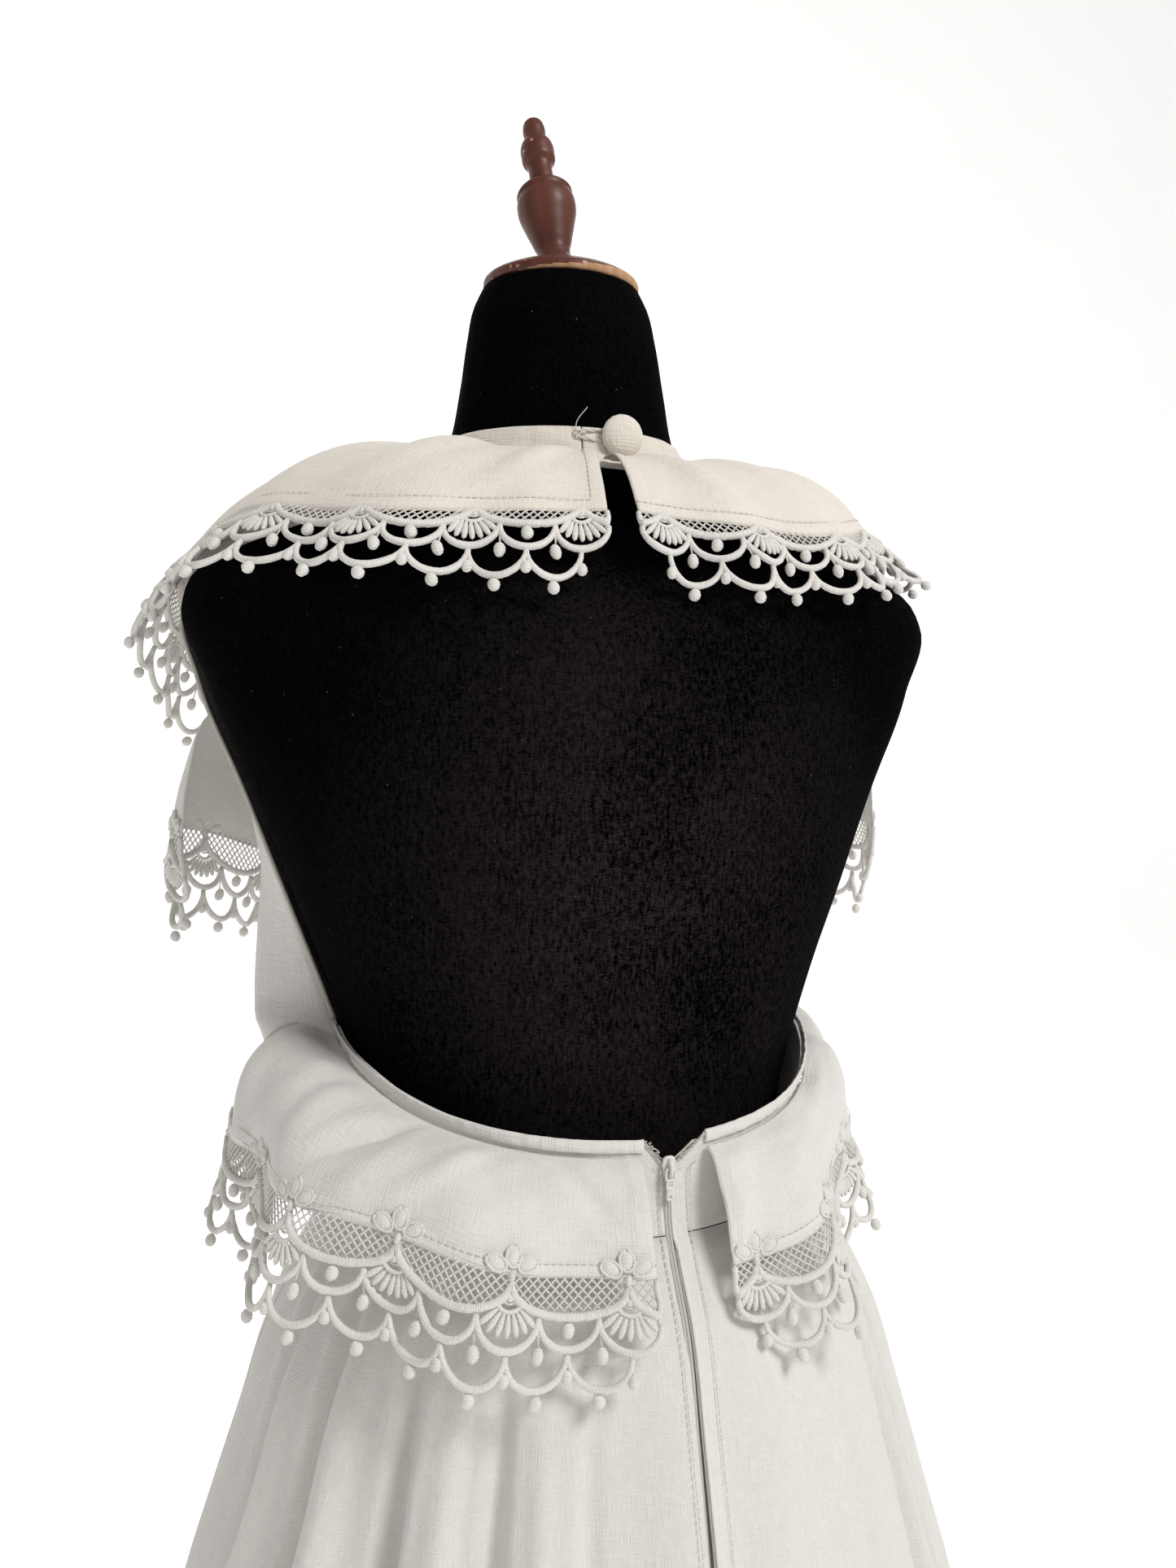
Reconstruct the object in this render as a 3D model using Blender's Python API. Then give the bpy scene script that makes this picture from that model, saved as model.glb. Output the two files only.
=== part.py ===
"""A white open-back dress with a cape collar and lace-edged flounces, worn on a black dress form.

Metres, +Z up. The floor is z = 0 and the stand's pole is the Z axis. The dress faces -Y, and its back,
with the zip and the bare back of the form, faces +Y. Angles are in degrees from centre back (+Y) towards
the wearer's left (+X), so 0 is centre back, 90 the left side and 180 centre front.
"""
import math

import bpy
import numpy as np

# Cloth walls, and the gap left where two pieces meet at a seam
CLOTH = 0.0012
RUFFLE = 0.0010
LACE = 0.0012
BAND = 0.0015
SEAM = 0.0003
EASE = 0.0040
TOP_EASE = 0.0020
SHOULDER_Z = (1.150, 1.235, 1.284, 1.300, 1.315, 1.345, 1.352)
SHOULDER_EASE = (0.0, 0.0016, 0.0012, 0.0025, 0.006, 0.005, 0.0)
SIDE_ANGLE = 90.0
CHORD = 0.0005

# Heights of the dress
HEM_Z = 0.250
WAIST_Z = 1.020
BAND_BOTTOM_Z = 1.352
BAND_TOP_Z = 1.371

# The zip, a little to the wearer's right of the middle
ZIP_X = -0.007
ZIP_BOTTOM_Z = 0.900
SLIDER_Z = 1.0485
OPENING_LEFT_X = 0.0039
OPENING_RIGHT_X = -0.0248
TAPE_WIDTH = 0.009
TAPE_WALL = 0.0007
TAPE_DEPTH = 0.0022

# Lace: one half repeat, and the depths of its rows below the cloth's edge
HALF_REPEAT = 0.023
LACE_DEPTH = 0.049
ROW1_TOP, ROW1_BOTTOM = 0.0165, 0.0255
ROW2_TOP, ROW2_BOTTOM = 0.0290, 0.0385
NOTCH_DEPTH = 0.0410

# The dress form, a ring for each row: height, half width, depths behind and in front, centre, squareness
FORM_COLUMNS = ("z", "half_width", "back", "front", "centre_y", "power")
FORM = np.array([
    (0.740, 0.1400, 0.0880, 0.0860, 0.0000, 2.30),
    (0.760, 0.1540, 0.0960, 0.0930, 0.0000, 2.30),
    (0.820, 0.1610, 0.1030, 0.0950, 0.0000, 2.30),
    (0.880, 0.1570, 0.1050, 0.0920, -0.0020, 2.30),
    (0.950, 0.1320, 0.1000, 0.0850, -0.0050, 2.30),
    (1.020, 0.0985, 0.0920, 0.0820, -0.0100, 2.30),
    (1.060, 0.1045, 0.0920, 0.0840, -0.0140, 2.30),
    (1.100, 0.1185, 0.0940, 0.0900, -0.0180, 2.30),
    (1.150, 0.1375, 0.0980, 0.1000, -0.0200, 2.30),
    (1.200, 0.1560, 0.1000, 0.1050, -0.0200, 2.30),
    (1.250, 0.1770, 0.0960, 0.1000, -0.0200, 2.30),
    (1.284, 0.1864, 0.0880, 0.0880, -0.0200, 2.30),
    (1.300, 0.1780, 0.0800, 0.0800, -0.0220, 2.25),
    (1.315, 0.1500, 0.0720, 0.0720, -0.0270, 2.20),
    (1.330, 0.1150, 0.0660, 0.0660, -0.0350, 2.10),
    (1.345, 0.0800, 0.0625, 0.0625, -0.0450, 2.05),
    (1.357, 0.0650, 0.0600, 0.0600, -0.0500, 2.00),
    (1.371, 0.0585, 0.0585, 0.0585, -0.0515, 2.00),
    (1.400, 0.0525, 0.0525, 0.0525, -0.0520, 2.00),
    (1.425, 0.0488, 0.0488, 0.0488, -0.0540, 2.00),
    (1.442, 0.0452, 0.0452, 0.0452, -0.0560, 2.00),
    (1.452, 0.0405, 0.0405, 0.0405, -0.0570, 2.00),
])

# The dress from the hem to the top of its waist part, with the form's columns
GARMENT = np.array([
    (0.250, 0.3280, 0.3120, 0.3120, 0.0000, 2.00),
    (0.350, 0.3070, 0.2910, 0.2910, 0.0000, 2.00),
    (0.450, 0.2830, 0.2660, 0.2660, 0.0000, 2.00),
    (0.550, 0.2570, 0.2410, 0.2410, 0.0000, 2.00),
    (0.650, 0.2290, 0.2150, 0.2150, 0.0000, 2.00),
    (0.752, 0.2010, 0.1920, 0.1880, 0.0000, 2.00),
    (0.850, 0.1760, 0.1670, 0.1610, 0.0000, 2.00),
    (0.911, 0.1590, 0.1510, 0.1430, 0.0000, 2.02),
    (0.950, 0.1480, 0.1405, 0.1280, -0.0020, 2.05),
    (0.990, 0.1260, 0.1305, 0.1110, -0.0060, 2.10),
    (1.020, 0.1040, 0.1145, 0.0870, -0.0100, 2.15),
    (1.060, 0.1085, 0.1140, 0.0880, -0.0140, 2.25),
    (1.100, 0.1225, 0.1120, 0.0940, -0.0180, 2.30),
])

# Folds of the skirt at the hem: angle, height and half width in degrees
FOLDS = np.array([
    (0, 0.014, 10), (22, 0.016, 10), (40, 0.022, 9), (57, 0.024, 9), (74, 0.018, 8), (90, 0.016, 9),
    (112, 0.016, 11), (135, 0.018, 11), (157, 0.016, 11), (180, 0.014, 11), (203, 0.016, 11),
    (225, 0.018, 11), (248, 0.016, 11), (270, 0.016, 9), (288, 0.012, 9), (303, 0.020, 6),
    (322, 0.010, 13), (343, 0.008, 10),
])
FOLD_GROWTH_Z = (0.250, 0.850, 0.950, 1.000)
FOLD_GROWTH = (1.0, 0.45, 0.20, 0.0)

# Upper edge of the back's waist part, and the side edge of the front bodice
SCOOP_ANGLE = (0.0, 20.0, 43.0, 57.0, 68.0, 85.0, 95.0)
SCOOP_Z = (1.0600, 1.0625, 1.0680, 1.0735, 1.0785, 1.0840, 1.0860)
SIDE_Z = (1.020, 1.084, 1.092, 1.200, 1.284, 1.315, 1.345, 1.352)
SIDE_EDGE = (90.0, 90.0, 92.0, 94.0, 99.0, 116.0, 128.0, 133.0)
BINDING_HEIGHT = 0.006
BINDING = 0.0020

# Flounces, a row for each angle: top edge, crest that steers the fall, cloth edge and lace tip
FLOUNCE_COLUMNS = ("angle", "top_z", "crest_r", "crest_z", "edge_r", "edge_z", "tip_r", "tip_z")
COLLAR_AXIS_Y = -0.0515
COLLAR_TOP_Z = 1.3555
COLLAR_LEFT = np.array([
    (0, COLLAR_TOP_Z, 0.090, 1.360, 0.113, 1.3240, 0.1270, 1.2870),
    (27, COLLAR_TOP_Z, 0.098, 1.364, 0.127, 1.3210, 0.1410, 1.2860),
    (40, COLLAR_TOP_Z, 0.107, 1.366, 0.144, 1.3190, 0.1630, 1.2880),
    (52, COLLAR_TOP_Z, 0.115, 1.369, 0.157, 1.3190, 0.1810, 1.2900),
    (69, COLLAR_TOP_Z, 0.122, 1.370, 0.168, 1.3220, 0.1990, 1.2900),
    (90, COLLAR_TOP_Z, 0.130, 1.370, 0.187, 1.3000, 0.2070, 1.2570),
    (105, COLLAR_TOP_Z, 0.140, 1.364, 0.193, 1.2700, 0.2040, 1.2230),
    (125, COLLAR_TOP_Z, 0.128, 1.362, 0.158, 1.2480, 0.1700, 1.2000),
    (150, COLLAR_TOP_Z, 0.106, 1.360, 0.108, 1.2400, 0.1180, 1.1920),
    (180, COLLAR_TOP_Z, 0.092, 1.360, 0.086, 1.2380, 0.0960, 1.1900),
])
COLLAR_RIGHT = np.array([
    (0, COLLAR_TOP_Z, 0.090, 1.360, 0.113, 1.3240, 0.1270, 1.2870),
    (27, COLLAR_TOP_Z, 0.098, 1.364, 0.127, 1.3210, 0.1410, 1.2860),
    (40, COLLAR_TOP_Z, 0.107, 1.367, 0.142, 1.3200, 0.1590, 1.2880),
    (52, COLLAR_TOP_Z, 0.115, 1.370, 0.151, 1.3240, 0.1730, 1.2940),
    (69, COLLAR_TOP_Z, 0.119, 1.373, 0.157, 1.3310, 0.1880, 1.3020),
    (90, COLLAR_TOP_Z, 0.128, 1.373, 0.174, 1.3150, 0.1980, 1.2750),
    (105, COLLAR_TOP_Z, 0.140, 1.366, 0.186, 1.2800, 0.1980, 1.2350),
    (125, COLLAR_TOP_Z, 0.128, 1.362, 0.156, 1.2500, 0.1690, 1.2030),
    (150, COLLAR_TOP_Z, 0.106, 1.360, 0.108, 1.2400, 0.1180, 1.1920),
    (180, COLLAR_TOP_Z, 0.092, 1.360, 0.086, 1.2380, 0.0960, 1.1900),
])
COLLAR_START_LEFT = 6.5
COLLAR_START_RIGHT = -0.5
BODY_AXIS_Y = -0.020
MID = np.array([
    (94, 1.232, 0.184, 1.225, 0.187, 1.1740, 0.1620, 1.1140),
    (107, 1.230, 0.190, 1.224, 0.196, 1.1740, 0.1970, 1.1200),
    (125, 1.214, 0.166, 1.206, 0.174, 1.1560, 0.1810, 1.1060),
    (150, 1.196, 0.134, 1.188, 0.146, 1.1420, 0.1540, 1.0940),
    (180, 1.188, 0.120, 1.180, 0.134, 1.1360, 0.1420, 1.0880),
])
MID_START = 96.0
WAIST_AXIS_Y = -0.012
WAIST_LEFT = np.array([
    (0, 1.0535, 0.124, 1.050, 0.1360, 1.0140, 0.1530, 0.9690),
    (20, 1.0560, 0.128, 1.052, 0.1440, 1.0180, 0.1600, 0.9730),
    (37, 1.0600, 0.143, 1.060, 0.1560, 1.0290, 0.1700, 0.9830),
    (50, 1.0640, 0.153, 1.071, 0.1640, 1.0370, 0.1760, 0.9890),
    (69, 1.0720, 0.156, 1.092, 0.1640, 1.0400, 0.1730, 0.9910),
    (95, 1.0795, 0.156, 1.112, 0.1620, 1.0380, 0.1710, 0.9890),
    (120, 1.0780, 0.144, 1.100, 0.1540, 1.0360, 0.1680, 0.9880),
    (150, 1.0740, 0.122, 1.080, 0.1300, 1.0320, 0.1480, 0.9860),
    (180, 1.0720, 0.112, 1.074, 0.1200, 1.0300, 0.1400, 0.9850),
])
WAIST_RIGHT = np.array([
    (0, 1.0535, 0.125, 1.050, 0.1390, 1.0120, 0.1570, 0.9700),
    (20, 1.0560, 0.128, 1.052, 0.1410, 1.0130, 0.1580, 0.9720),
    (37, 1.0600, 0.131, 1.058, 0.1400, 1.0240, 0.1540, 0.9810),
    (50, 1.0640, 0.132, 1.066, 0.1370, 1.0330, 0.1490, 0.9880),
    (69, 1.0720, 0.134, 1.078, 0.1360, 1.0420, 0.1510, 0.9960),
    (95, 1.0795, 0.137, 1.092, 0.1390, 1.0400, 0.1560, 0.9940),
    (120, 1.0780, 0.134, 1.088, 0.1420, 1.0370, 0.1590, 0.9900),
    (150, 1.0740, 0.120, 1.080, 0.1290, 1.0320, 0.1470, 0.9860),
    (180, 1.0720, 0.112, 1.074, 0.1200, 1.0300, 0.1400, 0.9850),
])
WAIST_START_LEFT = 3.0
WAIST_START_RIGHT = -12.3

# Ruffle waves: crests in a half circle, and their height at the cloth's edge
COLLAR_WAVES, COLLAR_WAVE = 8, 0.0022
MID_WAVES, MID_WAVE = 7, 0.0030
WAIST_WAVES, WAIST_WAVE = 6, 0.0035

# Button and loop on the neckband
BUTTON_X = -0.0105
BUTTON_Z = 1.3670
SHANK_RADIUS = 0.0026
CORD_RADIUS = 0.0007
BAND_END_LEFT = 8.0
BAND_END_RIGHT = 7.4

# Wooden cap and finial: radius and height of each turned ring
CAP_CENTRE_Y = -0.057
CAP_Z = 1.4523
CAP_PROFILE = [
    (0.0385, 0.0000), (0.0400, 0.0022), (0.0400, 0.0052), (0.0365, 0.0122), (0.0270, 0.0192),
    (0.0150, 0.0222),
]
FINIAL_FOOT = (0.004, -0.0605, 1.4748)
FINIAL_LEAN = 19.0
FINIAL_LEAN_TOWARDS = 167.0
FINIAL_BEND = 0.008
FINIAL_PROFILE = [
    (0.0120, 0.000), (0.0125, 0.003), (0.0085, 0.006), (0.0105, 0.012), (0.0150, 0.021), (0.0155, 0.028),
    (0.0135, 0.035), (0.0100, 0.041), (0.0062, 0.046), (0.0048, 0.051), (0.0060, 0.055), (0.0088, 0.061),
    (0.0070, 0.067), (0.0050, 0.071), (0.0060, 0.076), (0.0040, 0.081), (0.0010, 0.083),
]

# The stand under the skirt
POLE_RADIUS = 0.016
HUB_RADIUS = 0.036
HUB_BOTTOM_Z, HUB_TOP_Z = 0.105, 0.165
LEG_REACH = 0.255
LEG_WIDTH = 0.026
LEG_ANGLES = (30.0, 150.0, 270.0)

MATERIALS = {
    "velvet": ((0.014, 0.012, 0.013), 0.95, 0.0),
    "turned_wood": ((0.110, 0.042, 0.033), 0.45, 0.0),
    "stand_wood": ((0.240, 0.120, 0.060), 0.55, 0.0),
    "cotton": ((0.760, 0.740, 0.700), 0.90, 0.0),
    "lace_cotton": ((0.740, 0.710, 0.660), 0.85, 0.0),
    "zip_tape": ((0.800, 0.790, 0.760), 0.80, 0.0),
    "enamel": ((0.800, 0.800, 0.780), 0.35, 0.0),
}


def clear_scene():
    """Remove whatever the start-up scene holds."""
    for thing in list(bpy.data.objects):
        bpy.data.objects.remove(thing, do_unlink=True)


def material(name):
    """One plain Principled material from the table above."""
    if name in bpy.data.materials:
        return bpy.data.materials[name]
    colour, roughness, metallic = MATERIALS[name]
    made = bpy.data.materials.new(name)
    made.use_nodes = True
    shader = made.node_tree.nodes["Principled BSDF"]
    shader.inputs["Base Color"].default_value = (*colour, 1.0)
    shader.inputs["Roughness"].default_value = roughness
    shader.inputs["Metallic"].default_value = metallic
    return made


def add_mesh(name, points, faces, look, smooth=True):
    """An object from points and faces, shaded smooth except at sharp edges."""
    mesh = bpy.data.meshes.new(name)
    mesh.from_pydata([tuple(point) for point in points], [], faces)
    mesh.validate()
    if smooth:
        mesh.shade_smooth()
        mesh.set_sharp_from_angle(angle=math.radians(40))
    mesh.materials.append(material(look))
    made = bpy.data.objects.new(name, mesh)
    bpy.context.collection.objects.link(made)
    return made


def shell(name, spots, faces, place, wall, look):
    """A closed wall: faces laid out in (angle or length, down), thickened inwards from the outer side."""
    spots = np.asarray(spots, float)
    step = 1e-4
    outer = place(spots[:, 0], spots[:, 1])
    along = place(spots[:, 0] + step, spots[:, 1]) - place(spots[:, 0] - step, spots[:, 1])
    down = place(spots[:, 0], spots[:, 1] + step) - place(spots[:, 0], spots[:, 1] - step)
    normal = np.cross(along, down)
    normal /= np.linalg.norm(normal, axis=1)[:, None]
    first = [outer[corner] for corner in faces[0][:3]]
    winding = np.cross(first[1] - first[0], first[2] - first[0]) @ normal[faces[0][0]]
    inner = outer - normal * wall * np.sign(winding)
    count = len(spots)
    sides = {}
    for face in faces:
        for start, end in zip(face, face[1:] + face[:1]):
            if (end, start) in sides:
                del sides[end, start]
            else:
                sides[start, end] = True
    solid = list(faces)
    solid += [tuple(corner + count for corner in (face[0], *reversed(face[1:]))) for face in faces]
    solid += [(end, start, start + count, end + count) for start, end in sides]
    return add_mesh(name, np.vstack([outer, inner]), solid, look)


def grid(across, down):
    """Spots and quads of a plain sheet, for shell()."""
    spots = [(u, v) for v in down for u in across]
    wide = len(across)
    faces = []
    for row in range(len(down) - 1):
        for column in range(wide - 1):
            corner = row * wide + column
            faces.append((corner, corner + 1, corner + wide + 1, corner + wide))
    return spots, faces


def loft(name, rings, look):
    """A closed solid through rings of equal counts, with flat ends; rings run upwards, anticlockwise."""
    count = len(rings[0])
    points = np.vstack(rings)
    faces = [tuple(reversed(range(count)))]
    for level in range(len(rings) - 1):
        for spot in range(count):
            after = (spot + 1) % count
            low, high = level * count, (level + 1) * count
            faces.append((low + spot, low + after, high + after, high + spot))
    faces.append(tuple(range((len(rings) - 1) * count, len(rings) * count)))
    return add_mesh(name, points, faces, look)


def smooth(x, knots, values):
    """A cubic through the knots, with each slope read from the neighbours on both sides."""
    slopes = np.gradient(values, knots)
    low = np.clip(np.searchsorted(knots, x) - 1, 0, len(knots) - 2)
    gap = knots[low + 1] - knots[low]
    s = (x - knots[low]) / gap
    start = (1 + 2 * s) * values[low] + s * gap * slopes[low]
    end = (3 - 2 * s) * values[low + 1] + (s - 1) * gap * slopes[low + 1]
    return start * (1 - s) ** 2 + end * s ** 2


def ring(table, angle, z, ease):
    """Points of a superellipse ring of a table at angles and heights, grown outwards by the ease."""
    angle = np.radians(angle)
    row = {name: np.interp(z, table[:, 0], column) for name, column in zip(FORM_COLUMNS, table.T)}
    power = row["power"]
    deep = np.where(np.cos(angle) > 0, row["back"], row["front"]) + ease
    wide = row["half_width"] + ease
    radius = (np.abs(np.sin(angle) / wide) ** power + np.abs(np.cos(angle) / deep) ** power) ** (-1 / power)
    height = np.broadcast_to(z, radius.shape)
    return np.stack([radius * np.sin(angle), row["centre_y"] + radius * np.cos(angle), height], -1)


def bodice_point(angle, z, ease=EASE):
    """Outer face of the bodice: the form grown by the ease, or the looser part at the waist."""
    upper = ring(FORM, angle, z, ease + np.interp(z, SHOULDER_Z, SHOULDER_EASE))
    lower = ring(GARMENT, angle, z, ease - EASE)
    return np.where((np.asarray(z) > GARMENT[-1, 0])[..., None], upper, lower)


def skirt_point(angle, z, ease=0.0):
    """Outer face of the skirt, with its folds growing towards the hem."""
    point = ring(GARMENT, angle, z, ease)
    grown = np.interp(z, FOLD_GROWTH_Z, FOLD_GROWTH)
    rise = np.zeros(np.broadcast(angle, z).shape)
    for centre, height, width in FOLDS:
        away = np.abs((angle - centre + 180.0) % 360.0 - 180.0)
        rise += np.where(away < width, height * (0.5 + 0.5 * np.cos(np.pi * away / width)), 0.0)
    outward = np.stack([np.sin(np.radians(angle)), np.cos(np.radians(angle)), 0 * rise], -1)
    return point + outward * (rise * grown)[..., None]


def zip_angle(z, x):
    """Angle at which the back of the dress passes a distance x to the left of the middle."""
    back = np.interp(z, GARMENT[:, 0], GARMENT[:, 2])
    return np.degrees(np.arctan2(x, back))


def opening_x(z, side):
    """The centre back edge: straight down the zip, and spreading into a V above the slider."""
    top = OPENING_LEFT_X if side > 0 else OPENING_RIGHT_X
    closed = ZIP_X + side * SEAM
    return np.interp(z, (SLIDER_Z - 0.001, SCOOP_Z[0]), (closed, top))


def make_form():
    """Torso and neck of the form in one solid, then the turned cap and the leaning finial."""
    angles = -np.arange(0.0, 360.0, 360.0 / 36)
    loft("form_torso", [ring(FORM, angles, z, 0.0) for z in FORM[:, 0]], "velvet")
    turned("neck_cap", CAP_PROFILE, (0.0, CAP_CENTRE_Y, CAP_Z), 24, "turned_wood")
    lean = (FINIAL_LEAN, FINIAL_LEAN_TOWARDS)
    turned("finial", FINIAL_PROFILE, FINIAL_FOOT, 16, "turned_wood", lean)


def turned(name, profile, foot, sides, look, lean=(0.0, 0.0)):
    """A turned solid on a foot; its axis bends just above the foot to lean towards an angle."""
    around = -np.radians(np.arange(sides) * 360.0 / sides)
    towards = np.radians(lean[1])
    heading = np.array([np.sin(towards), np.cos(towards), 0.0])
    across = np.array([heading[1], -heading[0], 0.0])
    centre, before = np.array(foot, float), 0.0
    rings = []
    for radius, height in profile:
        tilt = math.radians(lean[0]) * min(1.0, height / FINIAL_BEND)
        axis = heading * math.sin(tilt) + np.array([0, 0, math.cos(tilt)])
        flat = heading * math.cos(tilt) - np.array([0, 0, math.sin(tilt)])
        centre = centre + axis * (height - before)
        before = height
        rings.append(centre + radius * (np.outer(np.cos(around), flat) + np.outer(np.sin(around), across)))
    return loft(name, rings, look)


def make_stand():
    """A plain turned pole on a hub with three flat-footed legs."""
    turned("stand_pole", [(POLE_RADIUS, 0.0), (POLE_RADIUS, FORM[0, 0] - 2 * SEAM - HUB_TOP_Z)],
           (0, 0, HUB_TOP_Z + SEAM), 16, "stand_wood")
    turned("stand_hub", [(HUB_RADIUS, 0.0), (HUB_RADIUS, HUB_TOP_Z - HUB_BOTTOM_Z)],
           (0, 0, HUB_BOTTOM_Z), 18, "stand_wood")
    start = HUB_RADIUS + SEAM
    outline = [(start, 0.112), (0.10, 0.094), (0.17, 0.046), (0.215, 0.0), (LEG_REACH, 0.0),
               (LEG_REACH, 0.012), (0.19, 0.062), (0.11, 0.124), (start, 0.150)]
    reach, height = np.array(outline).T
    count = len(outline)
    for number, angle in enumerate(LEG_ANGLES):
        turn = math.radians(angle)
        sides = []
        for side in (-0.5 * LEG_WIDTH, 0.5 * LEG_WIDTH):
            x = reach * math.cos(turn) - side * math.sin(turn)
            y = reach * math.sin(turn) + side * math.cos(turn)
            sides.append(np.stack([x, y, height], -1))
        faces = [tuple(range(count)), tuple(reversed(range(count, 2 * count)))]
        faces += [((k + 1) % count, k, k + count, (k + 1) % count + count) for k in range(count)]
        add_mesh(f"stand_leg_{number + 1}", np.vstack(sides), faces, "stand_wood", smooth=False)


def make_bodice():
    """Front from side to side up to the neckband, and the two low back parts under the scooped edge."""
    levels = [z for z in FORM[:, 0] if WAIST_Z < z < BAND_BOTTOM_Z]
    levels = [BAND_BOTTOM_Z - SEAM] + sorted(levels + [1.084, 1.092], reverse=True) + [WAIST_Z + SEAM]
    count = 18

    def front(u, t):
        z = np.interp(t, np.arange(len(levels)), levels)
        edge = np.interp(z, SIDE_Z, SIDE_EDGE) + 0.08
        return bodice_point(edge + (360.0 - 2 * edge) * u / count, z)

    spots, faces = grid(np.arange(count + 1.0), np.arange(float(len(levels))))
    shell("bodice_front", spots, faces, front, CLOTH, "cotton")
    for side, name in ((1, "left"), (-1, "right")):
        def back(u, t, side=side):
            top = np.interp(SIDE_ANGLE * u, SCOOP_ANGLE, SCOOP_Z) - SEAM
            z = top + (WAIST_Z + SEAM - top) * t
            near = zip_angle(z, opening_x(z, side) * side)
            return bodice_point(side * (near + (SIDE_ANGLE - 0.08 - near) * u), z)

        across = np.linspace(0.0, 1.0, 13)
        down = np.array([0.0, 0.3, 1.0])
        spots, faces = grid(across if side > 0 else across[::-1], down)
        shell(f"bodice_back_{name}", spots, faces, back, CLOTH, "cotton")

        def binding(u, t, side=side):
            start = zip_angle(SCOOP_Z[0], opening_x(SCOOP_Z[0], side) * side)
            angle = start + (SIDE_ANGLE + 3.0 - start) * u
            z = np.interp(angle, SCOOP_ANGLE, SCOOP_Z) - BINDING_HEIGHT * t
            return bodice_point(side * angle, z, EASE + SEAM + BINDING)

        spots, faces = grid(np.linspace(0, 1, 25) if side > 0 else np.linspace(1, 0, 25), [0.0, 1.0])
        shell(f"opening_binding_{name}", spots, faces, binding, BINDING, "cotton")


def make_neckband():
    """A stand band that leans in to the neck, with a small gap where its ends meet behind."""
    def band(angle, t):
        return band_point(angle, np.interp(t, (0, 1, 2), (BAND_TOP_Z, 1.357, BAND_BOTTOM_Z)))

    spots, faces = grid(np.linspace(BAND_END_LEFT, 360.0 + BAND_END_RIGHT, 33), [0.0, 1.0, 2.0])
    shell("neckband", spots, faces, band, BAND, "cotton")


def band_point(angle, z, more=0.0):
    """Outer face of the neckband, which stands off the form's neck more at its lower edge."""
    ease = np.interp(z, (BAND_BOTTOM_Z, BAND_TOP_Z), (EASE, TOP_EASE)) + more
    return ring(FORM, angle, z, ease)


def outwards(angle):
    """Level unit vectors that point away from the middle at each angle."""
    turn = np.radians(angle)
    return np.stack([np.sin(turn), np.cos(turn), 0 * turn], -1)


def flounce(table, top_point, axis_y, waves, height):
    """The surface of one flounce: t is 0 at its top seam, 1 at the cloth's edge and 2 at the lace's tip.

    The cloth is a quadratic curve from the seam, steered by the crest, to the edge; the lace leaves the
    edge along the same slope and turns towards its tip. Waves push both outwards and grow with t.
    """
    def place(angle, t):
        turn = np.abs(angle)
        names = dict(zip(FLOUNCE_COLUMNS, (smooth(turn, table[:, 0], column) for column in table.T)))
        away = outwards(angle)
        middle = np.array([0.0, axis_y, 0.0])

        def spot(radius, z):
            point = middle + away * names[radius][..., None]
            point[..., 2] = names[z]
            return point

        top = top_point(angle, names["top_z"])
        crest, edge, tip = spot("crest_r", "crest_z"), spot("edge_r", "edge_z"), spot("tip_r", "tip_z")
        s = np.clip(t, 0.0, 1.0)[..., None]
        cloth = top * (1 - s) ** 2 + crest * 2 * s * (1 - s) + edge * s ** 2
        slope = (edge - crest) / np.linalg.norm(edge - crest, axis=-1)[..., None]
        control = edge + slope * 0.45 * np.linalg.norm(tip - edge, axis=-1)[..., None]
        w = np.clip(t - 1.0, 0.0, 1.1)[..., None]
        lace = edge * (1 - w) ** 2 + control * 2 * w * (1 - w) + tip * w ** 2
        before = np.minimum(t, 0.0)[..., None]
        point = np.where(t[..., None] > 1.0, lace, cloth) + before * (top - crest) * -2.0
        turned_by = np.radians(angle)
        uneven = 0.2 * np.sin(turned_by * 1.3 * waves) * (1 + np.cos(turned_by))
        wave = np.cos(turned_by * 2 * waves) + uneven
        return point + away * (wave * height * np.clip(t, 0.0, 2.0) ** 1.2)[..., None]

    return place


def edge_lengths(place, start, end):
    """Angles and running lengths along the cloth's edge, to space the lace evenly."""
    angles = np.linspace(start, end, 400)
    points = place(angles, np.ones(400))
    steps = np.linalg.norm(np.diff(points, axis=0), axis=1)
    return angles, np.concatenate([[0.0], np.cumsum(steps)])


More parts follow.
